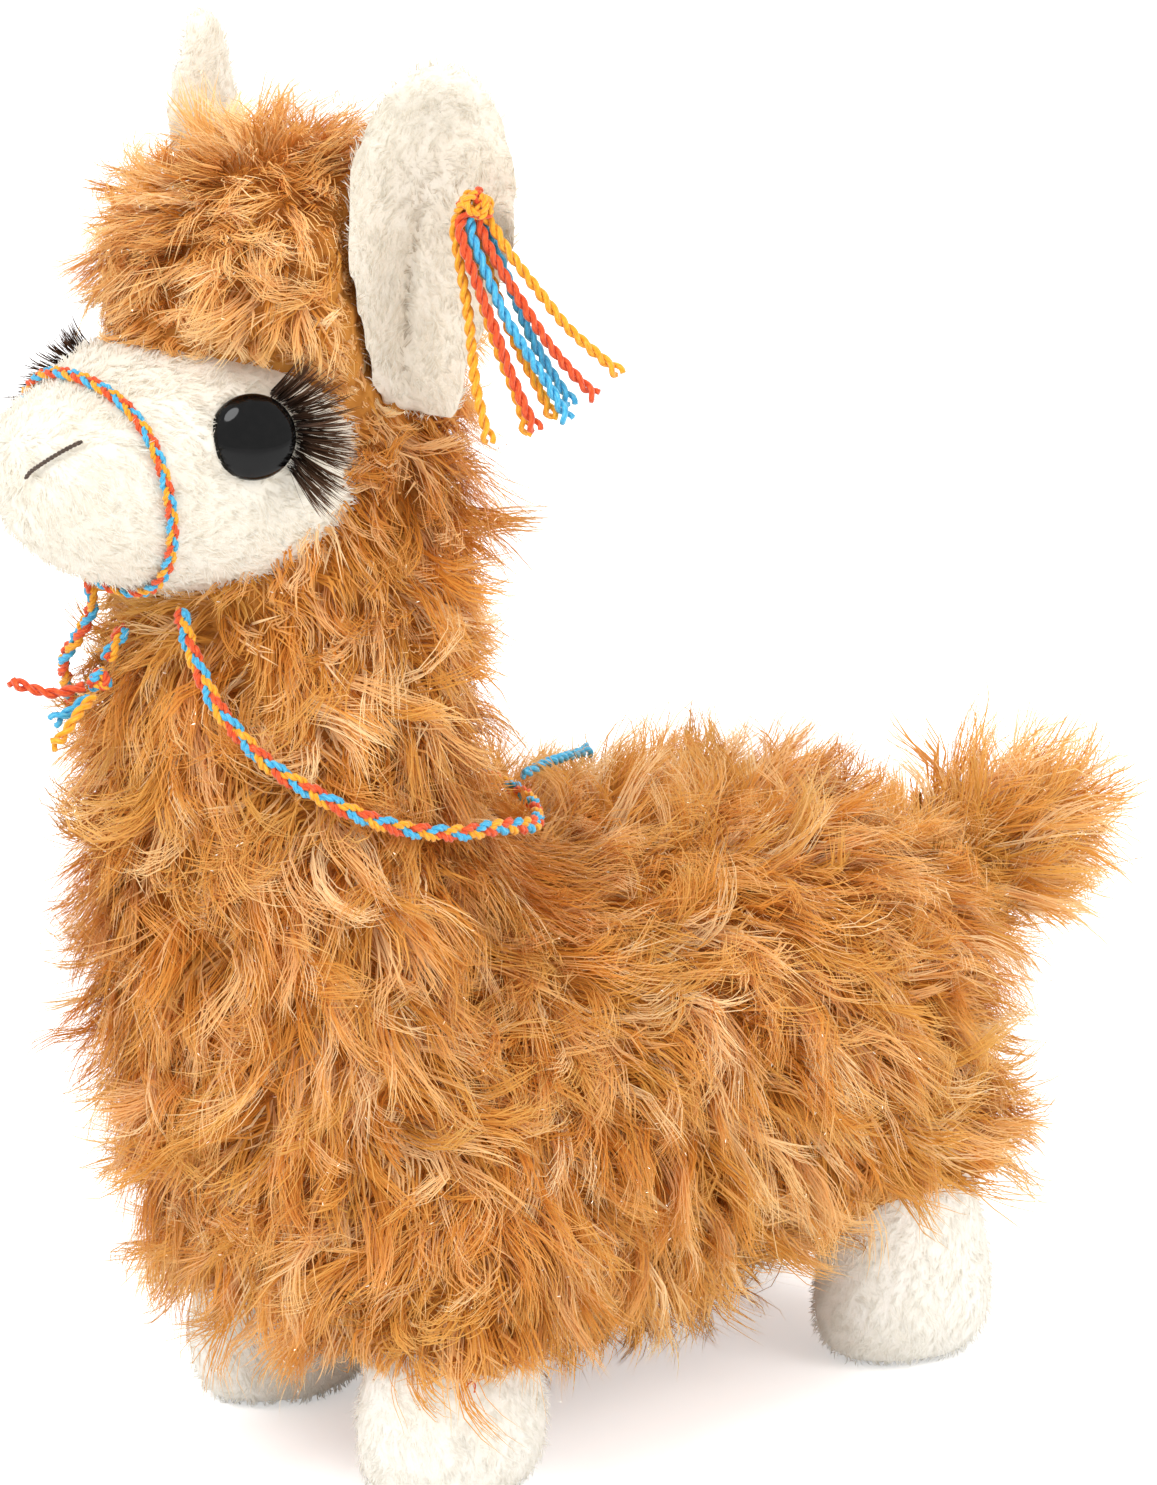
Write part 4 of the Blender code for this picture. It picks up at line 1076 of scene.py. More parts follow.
    def layer(self, ground: Object, regions: tuple[Region, ...], coat: Coat,
              rng: np.random.Generator) -> Strands:
        """Grow one layer of pile.

        Args:
            ground: the knitted ground.
            regions: the parts of the pelt that it grows on.
            coat: the kind of pile.
            rng: the source of chance.

        Returns:
            The strands.
        """
        values = [region.value for region in regions]
        faces = np.any(np.isin(self.region, values)[corners_of(ground)], axis=1)
        chosen, weights = scatter(ground, coat.density, faces, rng)
        outer = interpolated(self.outer, chosen, weights)
        region = self.region[chosen[:, 0]]
        mixed = np.any(self.region[chosen] != region[:, None], axis=1)
        region[mixed] = self.regions(outer[mixed])
        normals = unit(interpolated(self.out, chosen, weights))
        keep = np.isin(region, values)
        keep &= (normals[:, 2] > -0.75) | (rng.random(len(region)) < 0.5)
        roots = interpolated(self.places, chosen, weights)[keep]
        outer, region, normals = outer[keep], region[keep], normals[keep]
        face = tree_of("face")
        gap = np.array([face.find_nearest(Vector(place))[3] for place in outer]) / MM
        head = region == Region.CROWN.value
        least = np.where(head, 0.24, 0.5)
        scale = least + (1 - least) * soft_step(gap, 1.0, np.where(head, 15.0, 13.0))
        if len(regions) > 1:
            scale = scale * np.where(head, self.crown.length / self.body.length, 1.0)
        return self.hemmed(grow(roots, normals, self.combing(outer, region), coat, rng, scale))

    def hemmed(self, strands: Strands) -> Strands:
        """Shorten the pile that would hang over the feet or to the floor, as it is trimmed there.

        Args:
            strands: the strands.

        Returns:
            The strands that are left.
        """
        low = strands.points[..., 2].min(axis=1)
        tip = strands.points[:, -1, :2]
        allowed = np.full(len(low), self.belly_hem_mm * MM)
        for node in FEET:
            corners = np.array(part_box(node))[:, :2]
            reach = np.linalg.norm(tip - corners.mean(axis=0), axis=1) / MM
            hem = self.front_hem_mm if "front" in node else self.hind_hem_mm
            near = 1 - soft_step(reach, *self.hem_reach_mm)
            allowed = np.maximum(allowed, (self.belly_hem_mm + (hem - self.belly_hem_mm) * near) * MM)
        root = strands.points[:, 0, 2]
        share = np.clip((root - allowed) / np.maximum(root - low, 1e-6), 0.2, 1)
        return strands.shortened(share, root > allowed + 1.0 * MM)


def tinsel(layers: list[Strands], rng: np.random.Generator, share: float = 0.06) -> Strands:
    """Return the scraps of fine tinsel that are spun into the pile.

    Args:
        layers: the layers of pile.
        rng: the source of chance.
        share: how many scraps there are for each strand.

    Returns:
        Short straight strands near the ends of strands of the pile.
    """
    starts = []
    for layer in layers:
        chosen = rng.random(len(layer.points)) < share
        starts.append(layer.points[chosen, -2] * 0.5 + layer.points[chosen, -1] * 0.5)
    start = np.concatenate(starts)
    count = len(start)
    way = unit(rng.normal(0, 1, (count, 3)))
    points = start[:, None, :] + way[:, None, :] * np.array([0, 0.3, 0.6])[None, :, None] * MM
    facing = unit(rng.normal(0, 1, (count, 3)))
    return Strands(points, facing, np.full(count, 0.13 * MM), rng.random(count), rng.random(count))


def tinsel_material() -> Material:
    """Make the pearly film of the tinsel in the pile, which glints where it faces the light."""
    made, tree, shader = new_material("pearly polyester tinsel", {"Metallic": 0.9, "Roughness": 0.18})
    colour = ramp(tree, strand_values(tree)["Green"], ((0.0, "FFE9C4"), (1.0, "FFFDF5")))
    tree.links.new(colour, shader.inputs["Base Color"])
    return made


# Stuffed plush


@dataclass(frozen=True)
class PlushFinish:
    """Cream short-pile plush: the knitted skin under its nap, a little warmer and darker than the tips."""

    name: str = "cream short-pile plush"
    light: str = "F3EDE0"
    dark: str = "EAE1D0"

    def make(self) -> Material:
        """Make the material.

        Returns:
            A soft mottled cream with a fine knitted bump.
        """
        made, tree, shader = new_material(self.name, {
            "Roughness": 0.95, "Specular IOR Level": 0.1, "Sheen Weight": 0.3})
        colour = ramp(tree, mottle(tree, 160.0, 4.0), ((0.3, self.dark), (0.65, self.light)))
        tree.links.new(colour, shader.inputs["Base Color"])
        knit = mottle(tree, 2600.0, 1.0)
        bump = add_node(tree, "Bump", inputs={"Height": knit, "Strength": 0.5, "Distance": 0.15 * MM})
        tree.links.new(bump.outputs["Normal"], shader.inputs["Normal"])
        return made


@dataclass(frozen=True)
class NapFinish:
    """The nap of the cream plush: short upright fibres, near white at their tips."""

    name: str = "cream plush nap"
    root: str = "F3ECDD"
    tip: str = "F9F6ED"
    # The colour of the painted shade round the eyes and in the ears' creases and cups
    shade: str = "B5A48C"

    def make(self) -> Material:
        """Make the material.

        Returns:
            A material that reads each strand's own values: R along it, G its tint, B how shaded it lies.
        """
        made, tree, shader = new_material(self.name, {
            "Roughness": 0.9, "Specular IOR Level": 0.1, "Sheen Weight": 0.1})
        strand = strand_values(tree)
        colour = ramp(tree, strand["Red"], ((0.0, self.root), (0.8, self.tip)))
        colour = blend(tree, strand["Blue"], colour, self.shade)
        tint = add_node(tree, "MapRange", inputs={"Value": strand["Green"], "To Min": 0.95, "To Max": 1.03})
        bright = add_node(tree, "HueSaturation", inputs={"Color": colour, "Value": tint.outputs["Result"]})
        let_through(tree, shader, bright.outputs["Color"], 0.3)
        return made


@dataclass(frozen=True)
class Stuffing:
    """How a plush form is filled: its CAD form in one skin, drawn in a little, then blown out by its filling.

    Args:
        voxel_mm: the size of the skin's mesh.
        rounds: how often its edges are smoothed.
        inset_mm: how far it starts inside the CAD form.
        cap_mm: the most that the filling moves a point.
        pressure: of the filling in the cloth.
        scale: how many times larger than life the cloth moves, as cloth this small hardly stirs.
        frames: how long the filling presses.
    """

    voxel_mm: float
    rounds: int = 6
    inset_mm: float = 0.5
    cap_mm: float = 1.2
    pressure: float = 4.0
    scale: float = 10.0
    frames: int = 20

    def make(self, name: str, nodes: tuple[str, ...]) -> Object:
        """Make the filled form.

        Args:
            name: the new piece's name.
            nodes: the CAD nodes that it is made from.

        Returns:
            The new piece, with its cloth applied.
        """
        obj = merged_copy(name, nodes)
        apply_modifier(obj, "REMESH", mode="VOXEL", voxel_size=self.voxel_mm * MM)
        places = relaxed(obj, vertices_of(obj), self.rounds)
        set_vertices(obj, places)
        places = places - normals_of(obj) * self.inset_mm * MM
        set_vertices(obj, places)
        self.fill(obj, places)
        apply_modifier(obj, "SUBSURF", levels=1, render_levels=1)
        obj.data.shade_smooth()
        return obj

    def fill(self, obj: Object, places: Array) -> None:
        """Let cloth with the filling's pressure move the skin, and cap how far each point goes.

        Args:
            obj: the skin.
            places: where its vertices are.
        """
        set_vertices(obj, places * self.scale)
        cloth = only(obj).modifiers.new("filling", "CLOTH")
        cloth.settings.use_pressure = True
        cloth.settings.uniform_pressure_force = self.pressure
        cloth.settings.effector_weights.gravity = 0
        cloth.settings.quality = 4
        cloth.collision_settings.use_collision = False
        cloth.collision_settings.use_self_collision = False
        cloth.point_cache.frame_start, cloth.point_cache.frame_end = 1, self.frames
        scene = bpy.context.scene
        for frame in range(1, self.frames + 1):
            scene.frame_set(frame)
        moved = np.empty(len(places) * 3)
        evaluated = obj.evaluated_get(bpy.context.evaluated_depsgraph_get())
        evaluated.data.vertices.foreach_get("co", moved)
        moved = moved.reshape(-1, 3) / self.scale
        obj.modifiers.remove(cloth)
        scene.frame_set(1)
        step = moved - places
        length = np.linalg.norm(step, axis=1, keepdims=True)
        step = step * np.minimum(1, self.cap_mm * MM / np.maximum(length, 1e-9))
        LOG.info("%s: its filling moved the skin %.2f mm on average", obj.name, length.mean() / MM)
        set_vertices(obj, places + step)


NAP = Coat(density=2.3, length=1.7, lock=2.6, tuft=0.9, width=0.17, rise=0.6, lay=0.3, curl=0.4, swirl=0.5,
           sag=0.1, wave=0.1, kink=0.2, pull=(0.3, 0.1), frizz=0.1, segments=2)
# The face has nap before this place only, and the feet between these heights: pile or the floor hides the rest
FACE_BACK = -0.058
FOOT_NAP = (0.0008, 0.032)


def grow_nap(name: str, obj: Object, comb: Array, rng: np.random.Generator,
             shade: Array | None = None, keep: Array | None = None) -> Object:
    """Grow the nap of a plush piece.

    Args:
        name: the new piece's name.
        obj: the plush skin.
        comb: the way that the nap is brushed, for each vertex of the skin.
        rng: the source of chance.
        shade: how shaded each vertex of the skin lies, from 0 to 1.
        keep: true for each vertex of the skin that takes nap.

    Returns:
        The nap.
    """
    skin = new_object(f"{name}_skin", obj.data.copy())
    apply_modifier(skin, "TRIANGULATE")
    places, normals, corners = vertices_of(skin), normals_of(skin), corners_of(skin)
    faces = np.ones(len(corners), bool) if keep is None else np.all(keep[corners], axis=1)
    chosen, weights = scatter(skin, NAP.density, faces, rng)
    out = unit(interpolated(normals, chosen, weights))
    way = unit(interpolated(comb, chosen, weights))
    grown = grow(interpolated(places, chosen, weights), out, way, NAP, rng)
    grown.points[..., 2] = np.maximum(grown.points[..., 2], 0.0001)
    grown.lock[:] = 0 if shade is None else interpolated(shade[:, None], chosen, weights)[:, 0]
    grown.soft = out
    bpy.data.objects.remove(skin)
    return grown.mesh(name)


@dataclass(frozen=True)
class EarShape:
    """The frame of an ear, for its folds: X across it, Y out of its cup, Z up to its tip."""

    root: Place = (0.022, -0.050, 0.158)
    length: float = 0.054
    facing: float = math.radians(48)
    splay: float = math.radians(7)
    crease_mm: float = 1.1
    cup_mm: float = 3.0
    lip_mm: float = 2.0
    back_mm: float = 7
    ahead_mm: float = 22
    stops: tuple[float, ...] = (0.0, 0.14, 0.32, 0.5, 0.68, 0.84, 0.94, 1.0)
    halves: tuple[float, ...] = (5.5, 7, 10, 12.3, 12.8, 10.5, 7, 3)

    def frame(self, side: int) -> Matrix:
        """Return the frame of the ear on the left (1) or the right (-1)."""
        place = Matrix.Translation(Vector((self.root[0] * side, self.root[1], self.root[2])))
        return (place @ Matrix.Rotation(side * self.splay, 4, "Y")
                @ Matrix.Rotation(side * (math.pi + self.facing), 4, "Z"))

    def measured(self, places: Array, side: int) -> tuple[Array, Array, Array]:
        """Return places in the ear's frame, how far up the ear each is, and half the ear's width there."""
        local = in_frame(places, self.frame(side))
        along = local[:, 2] / self.length
        return local, along, np.interp(along, self.stops, self.halves) * MM

    def fold(self, obj: Object, side: int) -> tuple[Array, Array]:
        """Press the ear's folds into its skin: the crease that its stitched root draws up the middle.

        Args:
            obj: the ear.
            side: 1 for the left ear, -1 for the right.

        Returns:
            The way up the ear at each vertex, and its painted shade: a dark line in the crease and soft shade
            in the cup.
        """
        frame = np.array(self.frame(side))
        places = vertices_of(obj)
        local, along, half = self.measured(places, side)
        front = soft_step(normals_of(obj) @ frame[:3, 1], 0.1, 0.6)
        line = (0.9 + 1.6 * np.sin(along * 5.0)) * MM
        near = np.exp(-((local[:, 0] - line) / (0.9 * MM)) ** 2)
        reach = soft_step(along, 0.0, 0.1) * (1 - soft_step(along, 0.5, 0.68))
        depth = near * reach * front
        wide = np.exp(-((local[:, 0] - line) / (3.6 * MM)) ** 2) * reach * front
        share = np.clip(np.abs(local[:, 0]) / half, 0, 1.1)
        cup = (1 - share ** 2) * soft_step(along, 0.02, 0.25) * (1 - soft_step(along, 0.8, 0.97)) * front
        lip = share ** 4 * soft_step(along, 0.1, 0.3) * (1 - soft_step(along, 0.8, 1.0))
        push = lip * self.lip_mm - cup * self.cup_mm - depth * self.crease_mm + wide * 0.3
        places = places + frame[:3, 1][None, :] * push[:, None] * MM
        set_vertices(obj, relaxed(obj, places, 2, 0.3))
        up = np.tile(frame[:3, 2], (len(places), 1))
        # Painted shade for the nap's colour: a thin dark line down the lower crease, and soft shade in the
        # upper cup
        painted_hollow_shade = (np.exp(-((local[:, 0] - 1.0 * MM) / (4.2 * MM)) ** 2) * front
                  * soft_step(along, 0.35, 0.6) * (1 - soft_step(along, 0.68, 0.86)))
        return up, np.clip(depth ** 4 * 0.75 * (along < 0.5) + painted_hollow_shade * 0.3, 0, 1)

    def before(self, places: Array, side: int) -> Array:
        """Say which places lie before the ear's cup, where no pile may cover it.

        Args:
            places: points, one row each.
            side: 1 for the left ear, -1 for the right.

        Returns:
            How far each place stands before the ear's middle, in metres, or 0 where it isn't before it.
        """
        local, along, half = self.measured(places, side)
        inside = (np.abs(local[:, 0]) < half) & (along > 0.08) & (along < 1.02)
        inside &= (local[:, 1] > -self.back_mm * MM) & (local[:, 1] < self.ahead_mm * MM)
        return np.where(inside, local[:, 1] + self.back_mm * MM, 0.0)


# Eyes and lashes


@dataclass(frozen=True)
class Eye:
    """A moulded safety eye: a low glossy dome with a rim, on its shank."""

    axis: Place = (0.80, -0.55, 0.24)
    radius: float = 6 * MM
    dome: float = 4 * MM
    rim: float = 1.2 * MM
    shank: float = 1.5 * MM
    shank_length: float = 11 * MM

    def frame(self, node: str, side: int) -> Matrix:
        """Find the eye's frame from its CAD node.

        Args:
            node: the CAD node.
            side: 1 for the left eye, -1 for the right.

        Returns:
            A frame with its origin under the dome, Z out of the head and Y up.
        """
        axis = Vector((self.axis[0] * side, *self.axis[1:])).normalized()
        places = vertices_of(bpy.data.objects[node])
        along = places @ np.array(axis)
        head = places[along > along.max() - self.dome - 0.1 * MM]
        flat = head - (head @ np.array(axis))[:, None] * np.array(axis)
        low, high = flat.min(axis=0), flat.max(axis=0)
        centre = Vector((low + high) / 2)
        centre = centre - axis * centre.dot(axis) + axis * (along.max() - self.dome)
        aside = Vector((0, 0, 1)).cross(axis).normalized()
        frame = Matrix((aside, axis.cross(aside), axis)).transposed().to_4x4()
        frame.translation = centre
        return frame

    def make(self, name: str, node: str, side: int) -> Object:
        """Make the eye.

        Args:
            name: the new piece's name.
            node: the CAD node that it stands for.
            side: 1 for the left eye, -1 for the right.

        Returns:
            The eye, one mesh of dome, rim and shank.
        """
        frame = self.frame(node, side)
        bpy.ops.object.select_all(action="DESELECT")
        bpy.ops.mesh.primitive_uv_sphere_add(segments=64, ring_count=32, radius=self.radius)
        eye = bpy.context.object
        eye.name = name
        places = vertices_of(eye)
        up = places[:, 2] / self.radius
        places[:, 2] = np.where(up > 0, self.rim + up * (self.dome - self.rim), self.rim * (1 - (-up) ** 1.5))
        set_vertices(eye, places)
        bpy.ops.mesh.primitive_cylinder_add(vertices=24, radius=self.shank, depth=self.shank_length,
                                            location=(0, 0, 0.3 * MM - self.shank_length / 2))
        shank = bpy.context.object
        only(eye)
        shank.select_set(True)
        bpy.ops.object.join()
        eye.data.transform(frame)
        eye.data.shade_smooth()
        return eye


def slim_muzzle(face: Object, drop_mm: float = 3.6) -> None:
    """Let the top of the muzzle fall from its bridge to the nose, as its filling leaves it.

    Args:
        face: the plush face.
        drop_mm: how far the bridge falls.
    """
    places = vertices_of(face)
    front = soft_step(-places[:, 1] / MM, 84, 97) * (1 - 0.35 * soft_step(-places[:, 1] / MM, 99, 105))
    high = soft_step(places[:, 2] / MM, 156, 172)
    places[:, 2] -= drop_mm * front * high * MM
    set_vertices(face, relaxed(face, places, 2, 0.4))


def shade_face(face: Object, frames: dict[str, Matrix], deepest: float = 0.34) -> Array:
    """Return the painted shade of each vertex of the face: deeper round the eyes, where the plush dips.

    Args:
        face: the plush face.
        frames: the frame of each eye.
        deepest: the painted shade close to the eye.
    """
    places = vertices_of(face)
    shade = np.zeros(len(places))
    for frame in frames.values():
        local = in_frame(places, frame)
        reach = np.linalg.norm(local[:, :2], axis=1) / MM
        lean = 0.65 + 0.35 * soft_step(local[:, 1] / MM - local[:, 0] / MM, -4, 8)
        near = (1 - soft_step(reach, 5.5, 11.5)) * (np.abs(local[:, 2]) < 12 * MM)
        shade = np.maximum(shade, near * deepest * lean)
    return shade


def eye_material() -> Material:
    """Make glossy black moulded plastic, with the faint ripple and dust of a toy's eye."""
    made, tree, shader = new_material("glossy black moulded plastic", {"Specular IOR Level": 0.22})
    dust = mottle(tree, 900.0, 3.0)
    tree.links.new(ramp(tree, dust, ((0.4, "050505"), (0.8, "0D0C0C"))), shader.inputs["Base Color"])
    rough = add_node(tree, "MapRange", inputs={"Value": dust, "To Min": 0.03, "To Max": 0.11})
    tree.links.new(rough.outputs["Result"], shader.inputs["Roughness"])
    return made


def washer_material() -> Material:
    """Make the milky moulded plastic of the lock washers."""
    made, tree, shader = new_material("milky moulded plastic", {"Roughness": 0.45})
    colour = ramp(tree, mottle(tree, 300.0), ((0.3, "C9C8C2"), (0.7, "DAD9D4")))
    tree.links.new(colour, shader.inputs["Base Color"])
    return made


@dataclass(frozen=True)
class Lashes:
    """A strip of dense curled lashes round the upper back of an eye."""

    count: int = 380
    strays: int = 26
    length: float = 10.2 * MM
    radius: float = 6.3 * MM
    first: float = math.radians(66)
    last: float = math.radians(-42)
    sweep: float = math.radians(18)
    clump: float = math.radians(7)
    width: float = 0.2 * MM
    seed: int = 11

    def make(self, name: str, frame: Matrix, face: BVHTree) -> Object:
        """Make one eye's lashes.

        Args:
            name: the new piece's name.
            frame: the eye's frame.
            face: the search tree of the plush face.

        Returns:
            The lashes.
        """
        rng = np.random.default_rng(self.seed)
        total = self.count + self.strays
        stray = np.arange(total) >= self.count
        turn = rng.uniform(self.last, self.first, total)
        clump = np.round(turn / self.clump) * self.clump + rng.normal(0, 0.03, total)
        basis = np.array(frame)[:3, :3]
        axis = basis[:, 2]

        def outwards(angle: Array) -> Array:
            """Return the way out from the eye at each angle, in the plane of its rim."""
            return basis[:, 0] * np.cos(angle)[:, None] + basis[:, 1] * np.sin(angle)[:, None]

        roots = []
        for way in outwards(turn):
            reach = self.radius + rng.uniform(-0.3, 0.9) * MM
            start = Vector(np.array(frame.translation) + way * reach + axis * 8 * MM)
            spot = face.ray_cast(start, Vector(-axis))[0]
            roots.append(np.array(spot) if spot is not None else np.array(start) - axis * 8 * MM)
        roots = np.array(roots) + axis * 0.4 * MM
        towards = outwards(clump - self.sweep)
        low = (self.first - turn) / (self.first - self.last)
        length = self.length * (0.78 + 0.24 * low) * rng.uniform(0.75, 1.1, total)
        length = np.where(stray, length * rng.uniform(1.0, 1.5, total), length)
        steps, count = [], 6
        lift = rng.normal(0.95, 0.14, total)
        curl = rng.normal(1.0, 0.15, total)
        chance = rng.normal(0, 0.08, (total, 3)) * np.where(stray, 3.0, 1.0)[:, None]
        for k in range(count):
            t = (k + 0.5) / count
            rise = lift * (1 - t) + 0.25 * t
            heading = towards + axis * rise[:, None] + chance + basis[:, 1] * (curl * 0.28 * t ** 1.5)[:, None]
            steps.append(unit(heading) * (length / count)[:, None])
        reach = np.concatenate([np.zeros((total, 1, 3)), np.cumsum(np.stack(steps, 1), 1)], 1)
        points = roots[:, None, :] + reach
        facing = unit(rng.normal(0, 1, (total, 3)))
        width = np.where(stray, 0.5, 1.0) * self.width * rng.uniform(0.7, 1.2, total)
        return Strands(points, facing, width, rng.random(total), rng.random(total)).mesh(name)


def lash_material() -> Material:
    """Make dark brown heat-set nylon fibre, a little glossy, that reads each strand's own values."""
    made, tree, shader = new_material("dark brown nylon lash fibre", {
        "Roughness": 0.55, "Specular IOR Level": 0.2})
    colour = ramp(tree, strand_values(tree)["Red"], ((0.0, "281A13"), (0.5, "48301F"), (1.0, "6E4C36")))
    tree.links.new(colour, shader.inputs["Base Color"])
    return made


# Yarn


class Yarn(Enum):
    """The colours of the yarn."""

    RED = 0
    YELLOW = 1
    BLUE = 2


@dataclass(frozen=True)
class YarnFinish:
    """Glossy acrylic yarn: fine fibres that run with the twist, lighter where they catch the light."""

    name: str
    dark: str
    body: str
    light: str

    def make(self) -> Material:
        """Make the material.

        Returns:
            A material that reads the yarn's own UV map, in millimetres along it and turns round it.
        """
        made, tree, shader = new_material(self.name, {
            "Roughness": 0.6, "Specular IOR Level": 0.3, "Sheen Weight": 0.3})
        place = add_node(tree, "UVMap", {"uv_map": "yarn"}).outputs["UV"]
        lay = add_node(tree, "VectorMath", {"operation": "MULTIPLY"}, {0: place, 1: (1.3, 9.0, 1.0)})
        fibres = add_node(tree, "TexNoise", inputs={"Vector": lay.outputs[0], "Scale": 1.0, "Detail": 3.0})
        colour = ramp(tree, fibres.outputs["Fac"], ((0.25, self.dark), (0.5, self.body), (0.78, self.light)))
        tree.links.new(colour, shader.inputs["Base Color"])
        height = fibres.outputs["Fac"]
        bump = add_node(tree, "Bump", inputs={"Height": height, "Strength": 0.6, "Distance": 0.1 * MM})
        tree.links.new(bump.outputs["Normal"], shader.inputs["Normal"])
        return made


def yarn_materials() -> list[Material]:
    """Return the yarn's materials in the order of the Yarn colours."""
    return [YarnFinish("red acrylic yarn", "B8330F", "E4521B", "F57A45").make(),
            YarnFinish("yellow acrylic yarn", "D08708", "F5A81C", "FFC957").make(),
            YarnFinish("blue acrylic yarn", "2788BA", "45B4E0", "86D3F0").make()]


def smooth_line(points: Array, step: float, closed: bool = False) -> Array:
    """Return even, close points on the smooth curve through a route's own points.

    Args:
        points: the route's points.
        step: the spacing of the new points.
        closed: whether the curve is a ring.

    Returns:
        The new points.
    """
    points = np.asarray(points, float)
    if closed:
        padded = np.concatenate([points[-1:], points, points[:2]])
    else:
        padded = np.concatenate([2 * points[:1] - points[1:2], points, 2 * points[-1:] - points[-2:-1]])
    t = (np.arange(24) / 24)[:, None]
    dense = []
    for before, start, finish, after in zip(padded, padded[1:], padded[2:], padded[3:]):
        bend = (2 * before - 5 * start + 4 * finish - after) * t ** 2
        dense.append(0.5 * (2 * start + (finish - before) * t + bend
                            + (3 * start - before - 3 * finish + after) * t ** 3))
    dense = np.concatenate(dense + [padded[-2:-1]])
    reach = length_along(dense)
    count = max(3, round(reach[-1] / step))
    wanted = np.linspace(0, reach[-1], count + 1)
    line = np.stack([np.interp(wanted, reach, dense[:, k]) for k in range(3)], axis=1)
    return line[:-1] if closed else line


def length_along(line: Array) -> Array:
    """Return the distance along a line at each of its points."""
    return np.concatenate([[0], np.cumsum(np.linalg.norm(np.diff(line, axis=0), axis=1))])


def fitted_pitch(line: Array, pitch: float, closed: bool) -> float:
    """Return the pitch of a winding, changed a little on a ring, so that it closes on itself."""
    whole = length_along(line)[-1] + np.linalg.norm(line[0] - line[-1])
    return whole / max(1, round(whole / pitch)) if closed else pitch


def frames_along(line: Array, outward: Array | None = None, closed: bool = False) -> tuple[Array, Array]:
    """Return normals and sides along a line.

    Args:
        line: its points.
        outward: a direction near the normal at each point. With none, the normals of a ring look away from its
            middle, and those of an open line turn as little as they can.
        closed: whether the line is a ring.
    """
    if closed:
        tangent = unit(np.roll(line, -1, axis=0) - np.roll(line, 1, axis=0))
        outward = unit(line - line.mean(axis=0)) if outward is None else outward
    else:
        tangent = unit(np.gradient(line, axis=0))
    if outward is not None:
        normal = unit(outward - tangent * np.sum(outward * tangent, axis=1, keepdims=True))
        return normal, np.cross(tangent, normal)
    normal = np.empty_like(line)
    current = np.eye(3)[np.argmin(np.abs(tangent[0]))]
    for i, way in enumerate(tangent):
        current = current - way * np.dot(current, way)
        current = current / np.linalg.norm(current)
        normal[i] = current
    return normal, np.cross(tangent, normal)


